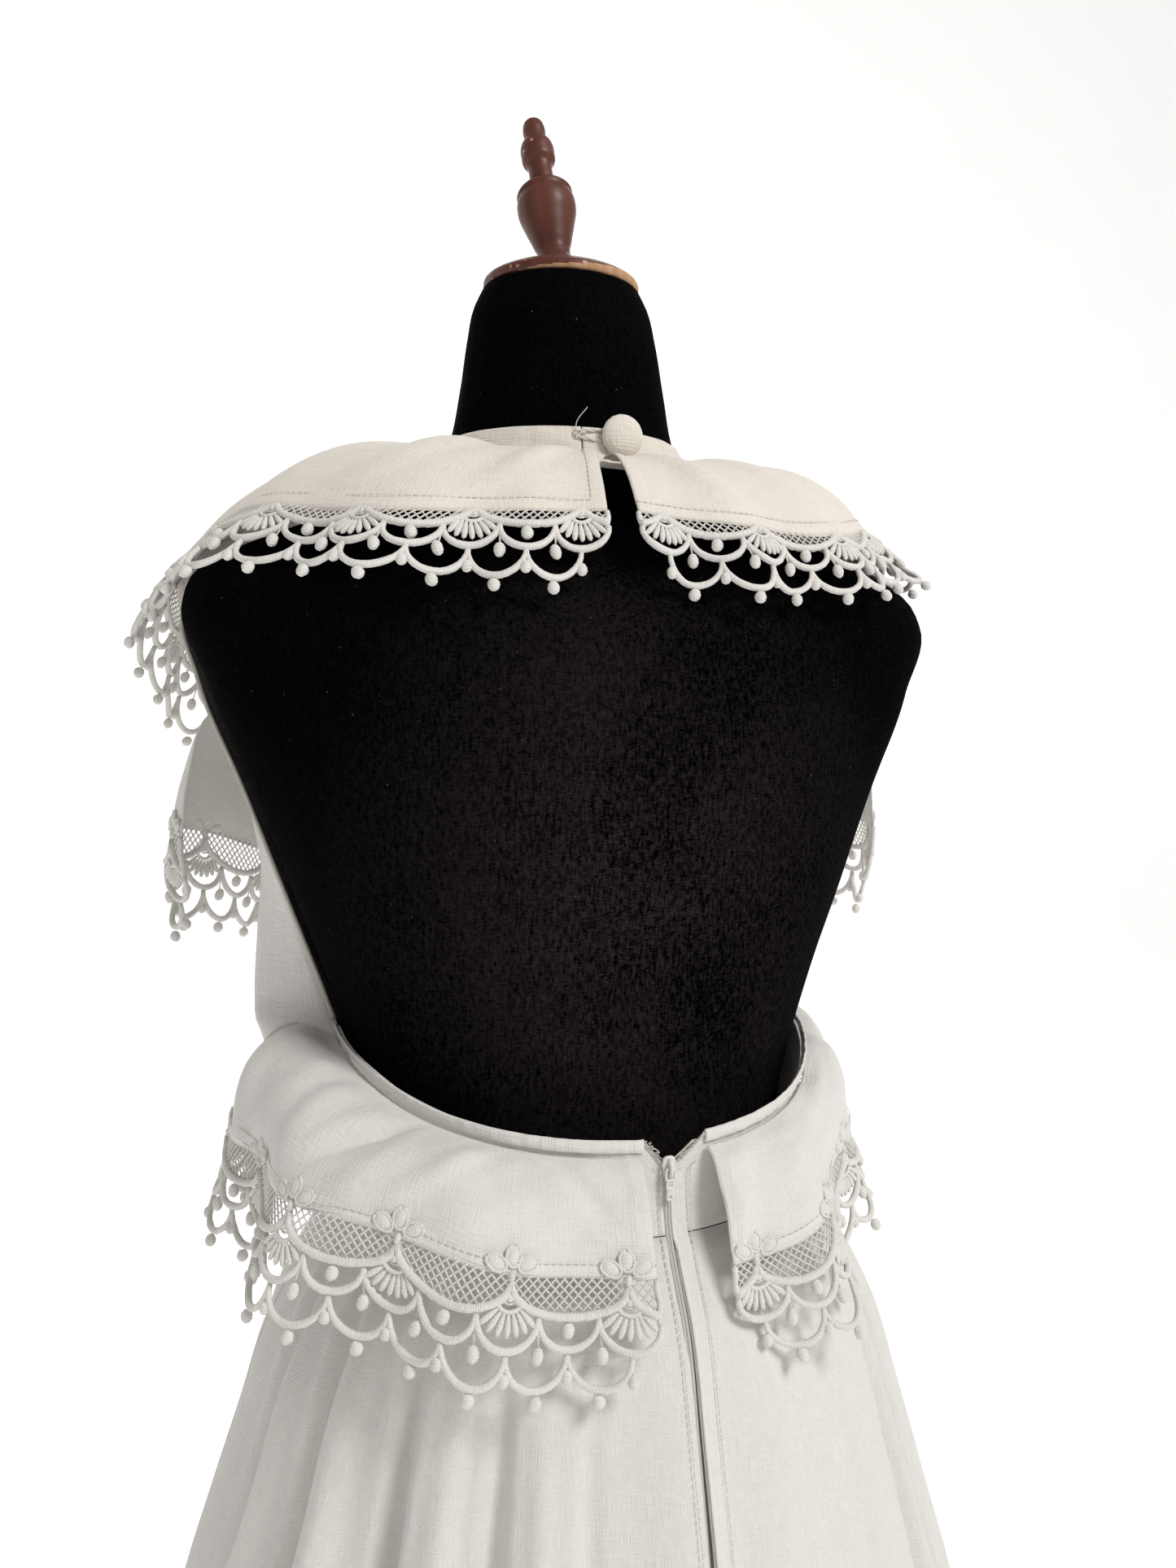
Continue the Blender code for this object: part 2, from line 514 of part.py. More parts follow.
def lace_sheet(halves):
    """Spots (in half repeats and metres down) and faces of a lace edging with two rows of gaps."""
    spots, names = [], {}

    def spot(name, number, across, down):
        names[name, number] = len(spots)
        spots.append((number + across, down))

    for n in range(halves + 1):
        spot("top", n, 0.0, SEAM)
        spot("low", n, 0.0, LACE_DEPTH)
        if 0 < n < halves:
            spot("p", n, -0.25, ROW2_TOP)
            spot("q", n, 0.25, ROW2_TOP)
            spot("r", n, 0.12, ROW2_BOTTOM)
            spot("s", n, -0.12, ROW2_BOTTOM)
    for n in range(halves):
        spot("a", n, 0.25, ROW1_TOP)
        spot("b", n, 0.75, ROW1_TOP)
        spot("c", n, 0.65, ROW1_BOTTOM)
        spot("d", n, 0.35, ROW1_BOTTOM)
        spot("notch", n, 0.5, NOTCH_DEPTH)
    faces = []

    def fan(*corners):
        known = [names[corner] for corner in corners if corner in names]
        faces.extend((known[0], left, right) for left, right in zip(known[1:], known[2:]))

    for n in range(halves):
        fan(("a", n), ("top", n), ("top", n + 1), ("b", n))
        fan(("notch", n), ("r", n), ("q", n), ("d", n), ("c", n), ("p", n + 1), ("s", n + 1))
    for n in range(1, halves):
        fan(("top", n), ("a", n), ("d", n), ("q", n), ("p", n), ("c", n - 1), ("b", n - 1))
        fan(("low", n), ("notch", n - 1), ("s", n), ("r", n), ("notch", n))
    fan(("low", 0), ("top", 0), ("a", 0), ("d", 0), ("notch", 0))
    fan(("low", halves), ("notch", halves - 1), ("c", halves - 1), ("b", halves - 1), ("top", halves))
    return spots, faces


def make_flounce(name, place, start, end, rows):
    """Cloth and lace of one stretch of a flounce; the cloth has a column at each half repeat of lace."""
    first, last = min(start, end), max(start, end)
    angles, lengths = edge_lengths(place, first, last)
    halves = round(lengths[-1] / HALF_REPEAT)
    across = np.interp(np.arange(halves + 1) * lengths[-1] / halves, lengths, angles)
    spots, faces = grid(across, rows)
    shell(name, spots, faces, place, RUFFLE, "cotton")

    def lace_place(u, v):
        angle = np.interp(u * lengths[-1] / halves, lengths, angles)
        before = np.minimum(u, 0.0) + np.maximum(u - halves, 0.0)
        return place(angle + before * 1e-3, 1.0 + v / LACE_DEPTH)

    spots, faces = lace_sheet(halves)
    shell(f"{name}_lace", spots, faces, lace_place, LACE, "lace_cotton")


def make_flounces():
    """The cape collar, the front's mid flounce and the waist flounce all round, each edged with lace."""
    def collar_top(angle, z):
        return band_point(angle, z, 2 * RUFFLE)

    def front_top(angle, z):
        return bodice_point(angle, z, EASE + SEAM + RUFFLE)

    def waist_top(angle, z):
        return bodice_point(angle, z, EASE + CHORD + SEAM + RUFFLE)

    collars = [flounce(table, collar_top, COLLAR_AXIS_Y, COLLAR_WAVES, COLLAR_WAVE)
               for table in (COLLAR_LEFT, COLLAR_RIGHT)]
    middle = flounce(MID, front_top, BODY_AXIS_Y, MID_WAVES, MID_WAVE)
    sides = [flounce(table, waist_top, WAIST_AXIS_Y, WAIST_WAVES, WAIST_WAVE)
             for table in (WAIST_LEFT, WAIST_RIGHT)]
    rows = (0.0, 0.25, 0.5, 0.75, 1.0)
    half_seam = 0.08
    make_flounce("collar_left", collars[0], COLLAR_START_LEFT, 180.0 - half_seam, rows)
    make_flounce("collar_right", collars[1], COLLAR_START_RIGHT, -180.0 + half_seam, rows)
    make_flounce("mid_flounce_left", middle, MID_START, 180.0 - half_seam, rows[::2])
    make_flounce("mid_flounce_right", middle, -MID_START, -180.0 + half_seam, rows[::2])
    side_seam = 95.0
    for sign, name, start, waist in ((1, "left", WAIST_START_LEFT, sides[0]),
                                     (-1, "right", WAIST_START_RIGHT, sides[1])):
        make_flounce(f"waist_flounce_back_{name}", waist, start, sign * side_seam, rows[::2])
        make_flounce(f"waist_flounce_front_{name}", waist, sign * (side_seam + 2 * half_seam),
                     sign * (180.0 - half_seam), rows[::2])


def make_skirt():
    """Front panel and two back panels that meet at the sides and at the zip."""
    levels = [WAIST_Z, 0.990, 0.950, 0.911, 0.850, 0.752, 0.600, 0.430, HEM_Z]
    seam_angle = 0.08

    def panel(near, far, count):
        def place(u, t):
            z = np.interp(t, np.arange(len(levels)), levels)
            start, end = near(z), far(z)
            return skirt_point(start + (end - start) * u / count, z)

        return place

    def seam(angle):
        return lambda z: np.full(np.shape(z), angle)

    def zip_edge(side):
        return lambda z: zip_angle(z, opening_x(z, side))

    down = np.arange(float(len(levels)))
    front_count, back_count = 36, 18
    front = panel(seam(SIDE_ANGLE + seam_angle), seam(360.0 - SIDE_ANGLE - seam_angle), front_count)
    left = panel(zip_edge(1), seam(SIDE_ANGLE - seam_angle), back_count)
    right = panel(seam(seam_angle - SIDE_ANGLE), zip_edge(-1), back_count)
    spots, faces = grid(np.arange(front_count + 1.0), down)
    shell("skirt_front", spots, faces, front, CLOTH, "cotton")
    spots, faces = grid(np.arange(back_count + 1.0), down)
    shell("skirt_back_left", spots, faces, left, CLOTH, "cotton")
    shell("skirt_back_right", spots, faces, right, CLOTH, "cotton")


def make_zip():
    """Two tapes behind the centre back edges, the slider with its bridge, and the pull tab hung in it."""
    levels = [SCOOP_Z[0] - 0.002, 1.052, SLIDER_Z - 0.001, 1.034, WAIST_Z, 0.990, 0.950, ZIP_BOTTOM_Z]
    for side, name in ((1, "left"), (-1, "right")):
        def tape(u, t, side=side):
            z = np.interp(t, np.arange(len(levels)), levels)
            near = opening_x(z, side) - side * 0.0001
            x = near + side * TAPE_WIDTH * u
            return ring(GARMENT, zip_angle(z, x), z, -TAPE_DEPTH)

        down = np.arange(float(len(levels)))
        spots, faces = grid([0.0, 0.5, 1.0] if side > 0 else [1.0, 0.5, 0.0], down)
        shell(f"zip_tape_{name}", spots, faces, tape, TAPE_WALL, "zip_tape")
    angle = zip_angle(SLIDER_Z, ZIP_X)
    face_y = float(ring(GARMENT, np.array(angle), np.array(SLIDER_Z), 0.0)[1]) + 2 * SEAM
    make_slider(face_y)


def box_mesh(low, high):
    """Corner points and outward faces of a box."""
    points = [(x, y, z) for z in (low[2], high[2]) for y in (low[1], high[1]) for x in (low[0], high[0])]
    faces = [(0, 2, 3, 1), (4, 5, 7, 6), (0, 1, 5, 4), (2, 6, 7, 3), (0, 4, 6, 2), (1, 3, 7, 5)]
    return points, faces


def make_slider(face_y):
    """A plate with an arched bridge; the tab's crossbar lies under the bridge and turns on the X axis."""
    plate, bridge_rise, bridge_bar = 0.0014, 0.0026, 0.0009
    half_width, half_height, bridge_half, foot = 0.0032, 0.0050, 0.0010, 0.0036
    low = (ZIP_X - half_width, face_y, SLIDER_Z - half_height)
    high = (ZIP_X + half_width, face_y + plate, SLIDER_Z + half_height)
    slider = add_mesh("zip_slider", *box_mesh(low, high), "enamel", smooth=False)
    bevel = slider.modifiers.new("rounded", "BEVEL")
    bevel.width, bevel.segments = 0.0005, 2
    front = face_y + plate
    block = box_mesh((ZIP_X - bridge_half, front - 0.0003, SLIDER_Z - foot),
                     (ZIP_X + bridge_half, front + bridge_rise + bridge_bar, SLIDER_Z + foot))
    window = box_mesh((ZIP_X - 0.003, front, SLIDER_Z - foot + bridge_bar),
                      (ZIP_X + 0.003, front + bridge_rise, SLIDER_Z + foot - bridge_bar))
    helpers = [add_mesh("bridge_block", *block, "enamel", smooth=False),
               add_mesh("bridge_window", *window, "enamel", smooth=False)]
    for helper, action in zip(helpers, ("UNION", "DIFFERENCE")):
        helper.hide_render = True
        helper.display_type = "WIRE"
        cut = slider.modifiers.new(action.lower(), "BOOLEAN")
        cut.operation, cut.object = action, helper
    axis_y = front + bridge_rise / 2
    make_pull_tab(axis_y)


def make_pull_tab(axis_y):
    """A flat tab with a window for the bridge, drawn around the hinge axis as its origin."""
    half_width, length, thick, bar = 0.0026, 0.0135, 0.0010, 0.0005
    window_half, window_length, tip = 0.0016, 0.0050, 0.0018
    outer = [(-half_width, bar), (half_width, bar), (half_width, -window_length),
             (tip + 0.0004, -length + 0.0020), (tip - 0.0008, -length), (-tip + 0.0008, -length),
             (-tip - 0.0004, -length + 0.0020), (-half_width, -window_length)]
    inner = [(-window_half, -bar), (window_half, -bar), (window_half, -window_length + 0.0006),
             (window_half, -window_length), (0.0006, -window_length), (-0.0006, -window_length),
             (-window_half, -window_length), (-window_half, -window_length + 0.0006)]
    count = len(outer)
    points = [(x, y, z) for y in (-thick / 2, thick / 2) for loop in (outer, inner) for x, z in loop]
    faces = []
    for k in range(count):
        after = (k + 1) % count
        faces.append((after, k, k + count, after + count))
        faces.append((k + 2 * count, after + 2 * count, after + 3 * count, k + 3 * count))
        faces.append((k, after, after + 2 * count, k + 2 * count))
        faces.append((after + count, k + count, k + 3 * count, after + 3 * count))
    tab = add_mesh("zip_pull_tab", points, faces, "enamel", smooth=False)
    tab.location = (ZIP_X, axis_y, SLIDER_Z)


def band_y(x, z):
    """Outer face of the neckband at a place behind the button or its loop."""
    depth = np.interp(z, FORM[:, 0], FORM[:, 3])
    return float(band_point(np.degrees(np.arctan2(x, depth)), np.array(z))[1])


def make_button():
    """A cloth-covered domed button on a shank, with a cord loop from the band's other end round it."""
    face = band_y(BUTTON_X, BUTTON_Z - SHANK_RADIUS) + SEAM
    profile = [(SHANK_RADIUS, 0.0), (SHANK_RADIUS, 0.0024), (0.0092, 0.0026), (0.0099, 0.0036),
               (0.0092, 0.0056), (0.0068, 0.0073), (0.0035, 0.0082), (0.0010, 0.0084)]
    around = np.radians(np.arange(18) * 20.0)
    rings = []
    for radius, depth in profile:
        rings.append(np.stack([BUTTON_X + radius * np.cos(around), 0 * around + face + depth,
                               BUTTON_Z - radius * np.sin(around)], -1))
    loft("button", rings, "cotton")
    reach, turn = SHANK_RADIUS + CORD_RADIUS + 0.0003, np.radians(np.linspace(90, 270, 9))
    route = [(0.0110, 0.0011), (0.0050, 0.0016), (-0.0020, 0.0026), (-0.0065, 0.0033)]
    bend = [(BUTTON_X + reach * math.cos(a), reach * math.sin(a)) for a in turn]
    route = route + bend + [(x, -z) for x, z in reversed(route)]
    curve = bpy.data.curves.new("button_loop", "CURVE")
    curve.dimensions, curve.bevel_depth, curve.bevel_resolution = "3D", CORD_RADIUS, 1
    curve.use_fill_caps = True
    spline = curve.splines.new("POLY")
    spline.points.add(len(route) - 1)
    for point, (x, z) in zip(spline.points, route):
        point.co = (x, band_y(x, BUTTON_Z + z) + CORD_RADIUS + 2 * SEAM, BUTTON_Z + z, 1.0)
    curve.materials.append(material("cotton"))
    bpy.context.collection.objects.link(bpy.data.objects.new("button_loop", curve))


def main():
    """Build the form, its stand and every piece of the dress."""
    clear_scene()
    make_form()
    make_stand()
    make_skirt()
    make_bodice()
    make_neckband()
    make_flounces()
    make_zip()
    make_button()


main()
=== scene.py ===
"""A white open-back dress with a cape collar and guipure lace flounces, on a black velvet dress form.

Metres, +Z up. The dress faces -Y; its back, with the zip and the bare velvet, faces +Y. Angles are in
degrees from centre back (+Y) towards the wearer's left (+X). Lace is drawn flat in millimetres, u along
the cloth's edge and v down from it, and then laid on the surface of its flounce.
"""
import math

import bmesh
import bpy
import numpy as np
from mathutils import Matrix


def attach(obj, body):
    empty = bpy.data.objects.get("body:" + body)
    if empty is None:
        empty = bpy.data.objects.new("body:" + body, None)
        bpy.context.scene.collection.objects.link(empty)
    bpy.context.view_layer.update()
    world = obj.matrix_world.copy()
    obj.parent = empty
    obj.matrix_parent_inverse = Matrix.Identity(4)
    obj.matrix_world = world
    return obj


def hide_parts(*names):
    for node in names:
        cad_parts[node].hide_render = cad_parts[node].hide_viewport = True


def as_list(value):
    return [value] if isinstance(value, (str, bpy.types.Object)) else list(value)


bl_info = {
    "name": "Open-back lace dress on a form",
    "version": (1, 0, 0),
    "blender": (4, 5, 0),
    "location": "3D View > Sidebar > Lace dress",
    "description": "Builds the dress, its lace and its velvet form over the packed solids",
    "category": "Add Mesh",
}

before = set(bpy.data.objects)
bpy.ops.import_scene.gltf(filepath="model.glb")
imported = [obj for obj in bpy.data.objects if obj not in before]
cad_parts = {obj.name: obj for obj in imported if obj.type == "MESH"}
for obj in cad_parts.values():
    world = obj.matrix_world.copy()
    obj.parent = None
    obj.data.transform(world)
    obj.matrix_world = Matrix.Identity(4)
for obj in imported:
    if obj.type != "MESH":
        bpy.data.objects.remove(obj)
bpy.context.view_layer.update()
DRESS = "dress_and_form"

SIDES = ((1, "left"), (-1, "right"))

# Cloth and the heights of the dress, as in the part's source
RUFFLE, SEAM, EASE, TOP_EASE, WAIST_LIFT = 0.001, 0.0003, 0.004, 0.002, 0.0005
HEM_Z, WAIST_Z = 0.25, 1.02
BAND_BOTTOM_Z, BAND_TOP_Z = 1.352, 1.371
SHOULDER_Z = (1.15, 1.235, 1.284, 1.3, 1.315, 1.345, 1.352)
SHOULDER_EASE = (0.0, 0.0016, 0.0012, 0.0025, 0.006, 0.005, 0.0)
ZIP_X, ZIP_BOTTOM_Z, SLIDER_Z = -0.007, 0.9, 1.0485
OPENING_LEFT_X, OPENING_RIGHT_X = 0.0039, -0.0248
# The lace's half repeat and depth in millimetres, and the length of a millimetre
HALF_REPEAT, LACE_DEPTH, MM = 23.0, 49.0, 0.001
# Space between stitches, and how far a stitch stands off its cloth
STITCH_GAP, STITCH_LIFT = 0.0009, 0.0001
# A point on the form's middle line, and the level part of a vector
MIDDLE, LEVEL = (0.0, -0.02, 0.0), (1.0, 1.0, 0.0)
# The tab's hinge and the slider's plate, with the gap between the zip's right edge and the cloth
PULL_AXIS_Y, PLATE_FRONT_Y, PLATE_THICK = 0.104474, 0.103174, 0.0014
RIGHT_GAP = 0.0018

# Rings of the form and of the dress: height, half width, depths behind and in front, centre, squareness
RING_COLUMNS = ("z", "half_width", "back", "front", "centre_y", "power")
FORM = np.array([
    (0.74, 0.14, 0.088, 0.086, 0.0, 2.3),
    (0.76, 0.154, 0.096, 0.093, 0.0, 2.3),
    (0.82, 0.161, 0.103, 0.095, 0.0, 2.3),
    (0.88, 0.157, 0.105, 0.092, -0.002, 2.3),
    (0.95, 0.132, 0.1, 0.085, -0.005, 2.3),
    (1.02, 0.0985, 0.092, 0.082, -0.01, 2.3),
    (1.06, 0.1045, 0.092, 0.084, -0.014, 2.3),
    (1.1, 0.1185, 0.094, 0.09, -0.018, 2.3),
    (1.15, 0.1375, 0.098, 0.1, -0.02, 2.3),
    (1.2, 0.156, 0.1, 0.105, -0.02, 2.3),
    (1.25, 0.177, 0.096, 0.1, -0.02, 2.3),
    (1.284, 0.1864, 0.088, 0.088, -0.02, 2.3),
    (1.3, 0.178, 0.08, 0.08, -0.022, 2.25),
    (1.315, 0.15, 0.072, 0.072, -0.027, 2.2),
    (1.33, 0.115, 0.066, 0.066, -0.035, 2.1),
    (1.345, 0.08, 0.0625, 0.0625, -0.045, 2.05),
    (1.357, 0.065, 0.06, 0.06, -0.05, 2.0),
    (1.371, 0.0585, 0.0585, 0.0585, -0.0515, 2.0),
    (1.4, 0.0525, 0.0525, 0.0525, -0.052, 2.0),
    (1.425, 0.0488, 0.0488, 0.0488, -0.054, 2.0),
    (1.442, 0.0452, 0.0452, 0.0452, -0.056, 2.0),
    (1.452, 0.0405, 0.0405, 0.0405, -0.057, 2.0),
])
GARMENT = np.array([
    (0.25, 0.328, 0.312, 0.312, 0.0, 2.0),
    (0.35, 0.307, 0.291, 0.291, 0.0, 2.0),
    (0.45, 0.283, 0.266, 0.266, 0.0, 2.0),
    (0.55, 0.257, 0.241, 0.241, 0.0, 2.0),
    (0.65, 0.229, 0.215, 0.215, 0.0, 2.0),
    (0.752, 0.201, 0.192, 0.188, 0.0, 2.0),
    (0.85, 0.176, 0.167, 0.161, 0.0, 2.0),
    (0.911, 0.159, 0.151, 0.143, 0.0, 2.02),
    (0.95, 0.148, 0.1405, 0.128, -0.002, 2.05),
    (0.99, 0.126, 0.1305, 0.111, -0.006, 2.1),
    (1.02, 0.104, 0.1145, 0.087, -0.01, 2.15),
    (1.06, 0.1085, 0.114, 0.088, -0.014, 2.25),
    (1.1, 0.1225, 0.112, 0.094, -0.018, 2.3),
])
# Folds of the skirt: angle, height and half width in degrees, and their growth towards the hem
FOLDS = [
    (0, 0.014, 10), (22, 0.016, 10), (40, 0.022, 9), (57, 0.024, 9), (74, 0.018, 8), (90, 0.016, 9),
    (112, 0.016, 11), (135, 0.018, 11), (157, 0.016, 11), (180, 0.014, 11), (203, 0.016, 11),
    (225, 0.018, 11), (248, 0.016, 11), (270, 0.016, 9), (288, 0.012, 9), (303, 0.02, 6), (322, 0.01, 13),
    (343, 0.008, 10),
]
FOLD_GROWTH_Z = (0.25, 0.85, 0.95, 1.0)
FOLD_GROWTH = (1.0, 0.45, 0.2, 0.0)
# The scooped edge of the open back, and the armhole's edge, by angle and height
SCOOP_ANGLE = np.array((0.0, 20.0, 43.0, 57.0, 68.0, 85.0, 95.0))
SCOOP_Z = np.array((1.06, 1.0625, 1.068, 1.0735, 1.0785, 1.084, 1.086))
SIDE_Z = np.array((1.02, 1.084, 1.092, 1.2, 1.284, 1.315, 1.345, 1.352))
SIDE_EDGE = np.array((90.0, 90.0, 92.0, 94.0, 99.0, 116.0, 128.0, 133.0))
# How far the loose cloth beside the left armhole stands off the form, by height
BLOUSE_Z = (1.04, 1.055, 1.07, 1.085, 1.1, 1.12, 1.16, 1.2)
BLOUSE = (0.0, 0.02, 0.039, 0.039, 0.033, 0.024, 0.008, 0.0)

# Flounces, a row for each angle
FLOUNCE_COLUMNS = ("angle", "top_z", "crest_r", "crest_z", "edge_r", "edge_z", "tip_r", "tip_z")
COLLAR_TOP_Z = 1.3555
COLLAR_LEFT = np.array([
    (0, COLLAR_TOP_Z, 0.09, 1.36, 0.113, 1.324, 0.127, 1.287),
    (27, COLLAR_TOP_Z, 0.098, 1.364, 0.127, 1.321, 0.141, 1.286),
    (40, COLLAR_TOP_Z, 0.107, 1.366, 0.144, 1.319, 0.163, 1.288),
    (52, COLLAR_TOP_Z, 0.115, 1.369, 0.157, 1.319, 0.181, 1.29),
    (69, COLLAR_TOP_Z, 0.122, 1.37, 0.168, 1.322, 0.199, 1.29),
    (90, COLLAR_TOP_Z, 0.13, 1.37, 0.187, 1.3, 0.207, 1.257),
    (105, COLLAR_TOP_Z, 0.14, 1.364, 0.193, 1.27, 0.204, 1.223),
    (125, COLLAR_TOP_Z, 0.128, 1.362, 0.158, 1.248, 0.17, 1.2),
    (150, COLLAR_TOP_Z, 0.106, 1.36, 0.108, 1.24, 0.118, 1.192),
    (180, COLLAR_TOP_Z, 0.092, 1.36, 0.086, 1.238, 0.096, 1.19),
])
COLLAR_RIGHT = COLLAR_LEFT.copy()
COLLAR_RIGHT[2:8, 2:] = [
    (0.107, 1.367, 0.142, 1.32, 0.159, 1.288),
    (0.115, 1.37, 0.151, 1.324, 0.173, 1.294),
    (0.119, 1.373, 0.157, 1.331, 0.188, 1.302),
    (0.128, 1.373, 0.174, 1.315, 0.198, 1.275),
    (0.14, 1.366, 0.186, 1.28, 0.198, 1.235),
    (0.128, 1.362, 0.156, 1.25, 0.169, 1.203),
]
MID = np.array([
    (94, 1.232, 0.184, 1.225, 0.187, 1.174, 0.162, 1.114),
    (107, 1.23, 0.19, 1.224, 0.196, 1.174, 0.197, 1.12),
    (125, 1.214, 0.166, 1.206, 0.174, 1.156, 0.181, 1.106),
    (150, 1.196, 0.134, 1.188, 0.146, 1.142, 0.154, 1.094),
    (180, 1.188, 0.12, 1.18, 0.134, 1.136, 0.142, 1.088),
])
WAIST_LEFT = np.array([
    (0, 1.0535, 0.124, 1.05, 0.136, 1.014, 0.153, 0.969),
    (20, 1.056, 0.128, 1.052, 0.144, 1.018, 0.16, 0.973),
    (37, 1.06, 0.143, 1.06, 0.156, 1.029, 0.17, 0.983),
    (50, 1.064, 0.153, 1.071, 0.164, 1.037, 0.176, 0.989),
    (69, 1.072, 0.156, 1.085, 0.164, 1.04, 0.173, 0.991),
    (95, 1.0795, 0.156, 1.1, 0.162, 1.038, 0.171, 0.989),
    (120, 1.078, 0.144, 1.1, 0.154, 1.036, 0.168, 0.988),
    (150, 1.074, 0.122, 1.08, 0.13, 1.032, 0.148, 0.986),
    (180, 1.072, 0.112, 1.074, 0.12, 1.03, 0.14, 0.985),
])
WAIST_RIGHT = np.column_stack([WAIST_LEFT[:, :2], [
    (0.125, 1.05, 0.139, 1.012, 0.157, 0.97),
    (0.128, 1.052, 0.141, 1.013, 0.158, 0.972),
    (0.131, 1.058, 0.14, 1.024, 0.154, 0.981),
    (0.132, 1.066, 0.137, 1.033, 0.149, 0.988),
    (0.134, 1.078, 0.136, 1.042, 0.151, 0.996),
    (0.137, 1.092, 0.139, 1.04, 0.156, 0.994),
    (0.134, 1.088, 0.142, 1.037, 0.159, 0.99),
    (0.12, 1.08, 0.129, 1.032, 0.147, 0.986),
    (0.112, 1.074, 0.12, 1.03, 0.14, 0.985),
]])
# Table, axis, first and last angle, ruffle waves and their height, lace hidden by the cloth in millimetres
FLOUNCES = {
    "collar_left": (COLLAR_LEFT, -0.0515, 6.5, 179.92, 8, 0.0022, 7.0),
    "collar_right": (COLLAR_RIGHT, -0.0515, -0.5, -179.92, 8, 0.0022, 7.0),
    "mid_flounce_left": (MID, -0.02, 96.0, 179.92, 7, 0.003, 0.0),
    "mid_flounce_right": (MID, -0.02, -96.0, -179.92, 7, 0.003, 0.0),
    "waist_flounce_back_left": (WAIST_LEFT, -0.012, 3.0, 95.0, 6, 0.0035, 0.0),
    "waist_flounce_front_left": (WAIST_LEFT, -0.012, 95.16, 179.92, 6, 0.0035, 0.0),
    "waist_flounce_back_right": (WAIST_RIGHT, -0.012, -12.3, -95.0, 6, 0.0035, 0.0),
    "waist_flounce_front_right": (WAIST_RIGHT, -0.012, -95.16, -179.92, 6, 0.0035, 0.0),
}

# Creases of the flounces: angle and share of the depth at both ends, half width in degrees, height
CREASES = {
    "collar_left": [
        (14, 0.15, 34, 0.95, 7, 0.0016), (40, 0.1, 58, 1.0, 8, 0.0024), (66, 0.1, 74, 1.0, 7, 0.0022),
        (84, 0.2, 88, 1.0, 7, 0.0025), (100, 0.3, 102, 1.1, 6, 0.003), (116, 0.3, 117, 1.1, 7, 0.003),
        (136, 0.3, 136, 1.1, 8, 0.0025), (158, 0.3, 158, 1.1, 8, 0.002),
    ],
    "collar_right": [
        (-12, 0.15, -28, 0.95, 7, 0.0016), (-36, 0.1, -50, 1.0, 7, 0.0022),
        (-62, 0.1, -70, 1.0, 7, 0.0024), (-84, 0.2, -86, 1.0, 6, 0.0028),
        (-104, 0.3, -104, 1.1, 7, 0.003), (-124, 0.3, -124, 1.1, 8, 0.0025),
        (-150, 0.3, -150, 1.1, 9, 0.002),
    ],
    "waist_flounce_back_left": [
        (30, -0.1, 46, 0.9, 4, 0.0022), (46, -0.1, 62, 0.9, 3, -0.0032), (24, -0.1, 9, 0.8, 4, -0.0016),
        (50, 0.05, 58, 1.0, 6, -0.0045), (40, 0.0, 34, 0.9, 8, 0.0022), (20, 0.0, 14, 0.8, 9, 0.0014),
        (72, 0.05, 76, 1.0, 7, 0.0035), (64, 0.0, 66, 1.0, 5, 0.003), (88, 0.1, 88, 1.0, 6, 0.003),
    ],
    "waist_flounce_back_right": [
        (-17, 0.1, -16, 1.0, 5, 0.003), (-32, 0.0, -30, 1.0, 7, 0.0022), (-52, 0.0, -48, 1.0, 7, 0.0026),
        (-70, 0.1, -68, 1.0, 6, 0.003),
    ],
}
# Grooves and ridges of the skirt and the bodice: angle and height at both ends, half width, height
SKIRT_LINES = [
    (29, 0.985, 33, 0.3, 3.4, -0.0115), (36, 0.975, 43, 0.3, 4.0, 0.008),
    (44, 1.0, 53, 0.3, 3.8, -0.0175), (55, 0.99, 62, 0.3, 4.0, 0.007), (61, 1.0, 70, 0.3, 3.9, -0.0175),
    (76, 1.0, 84, 0.3, 4.2, -0.016), (15, 0.965, 19, 0.3, 3.0, -0.0045), (22, 0.96, 25, 0.3, 2.6, 0.0035),
    (340, 0.93, 338, 0.3, 4.0, -0.0025), (327, 0.99, 322, 0.3, 4.0, -0.0035),
    (312, 1.0, 305, 0.25, 2.2, -0.009), (310, 1.0, 301, 0.25, 3.0, 0.006),
    (297, 1.0, 291, 0.25, 4.0, -0.009), (281, 1.0, 279, 0.25, 4.0, -0.008),
    (101, 1.0, 101, 0.25, 5.0, -0.009), (124, 1.0, 122, 0.25, 5.0, -0.01),
    (146, 1.0, 147, 0.25, 5.0, -0.009), (168, 1.0, 166, 0.25, 5.0, -0.01),
    (192, 1.0, 194, 0.25, 5.0, -0.009), (214, 1.0, 213, 0.25, 5.0, -0.01),
    (237, 1.0, 238, 0.25, 5.0, -0.009), (259, 1.0, 258, 0.25, 5.0, -0.01),
]
BODICE_LINES = [
    (97, 1.19, 104, 1.08, 6, 0.0016), (108, 1.16, 116, 1.06, 7, 0.0014),
    (263, 1.19, 256, 1.08, 6, 0.0016), (252, 1.16, 244, 1.06, 7, 0.0014),
    (140, 1.15, 150, 1.06, 9, 0.0012), (220, 1.15, 210, 1.06, 9, 0.0012),
]

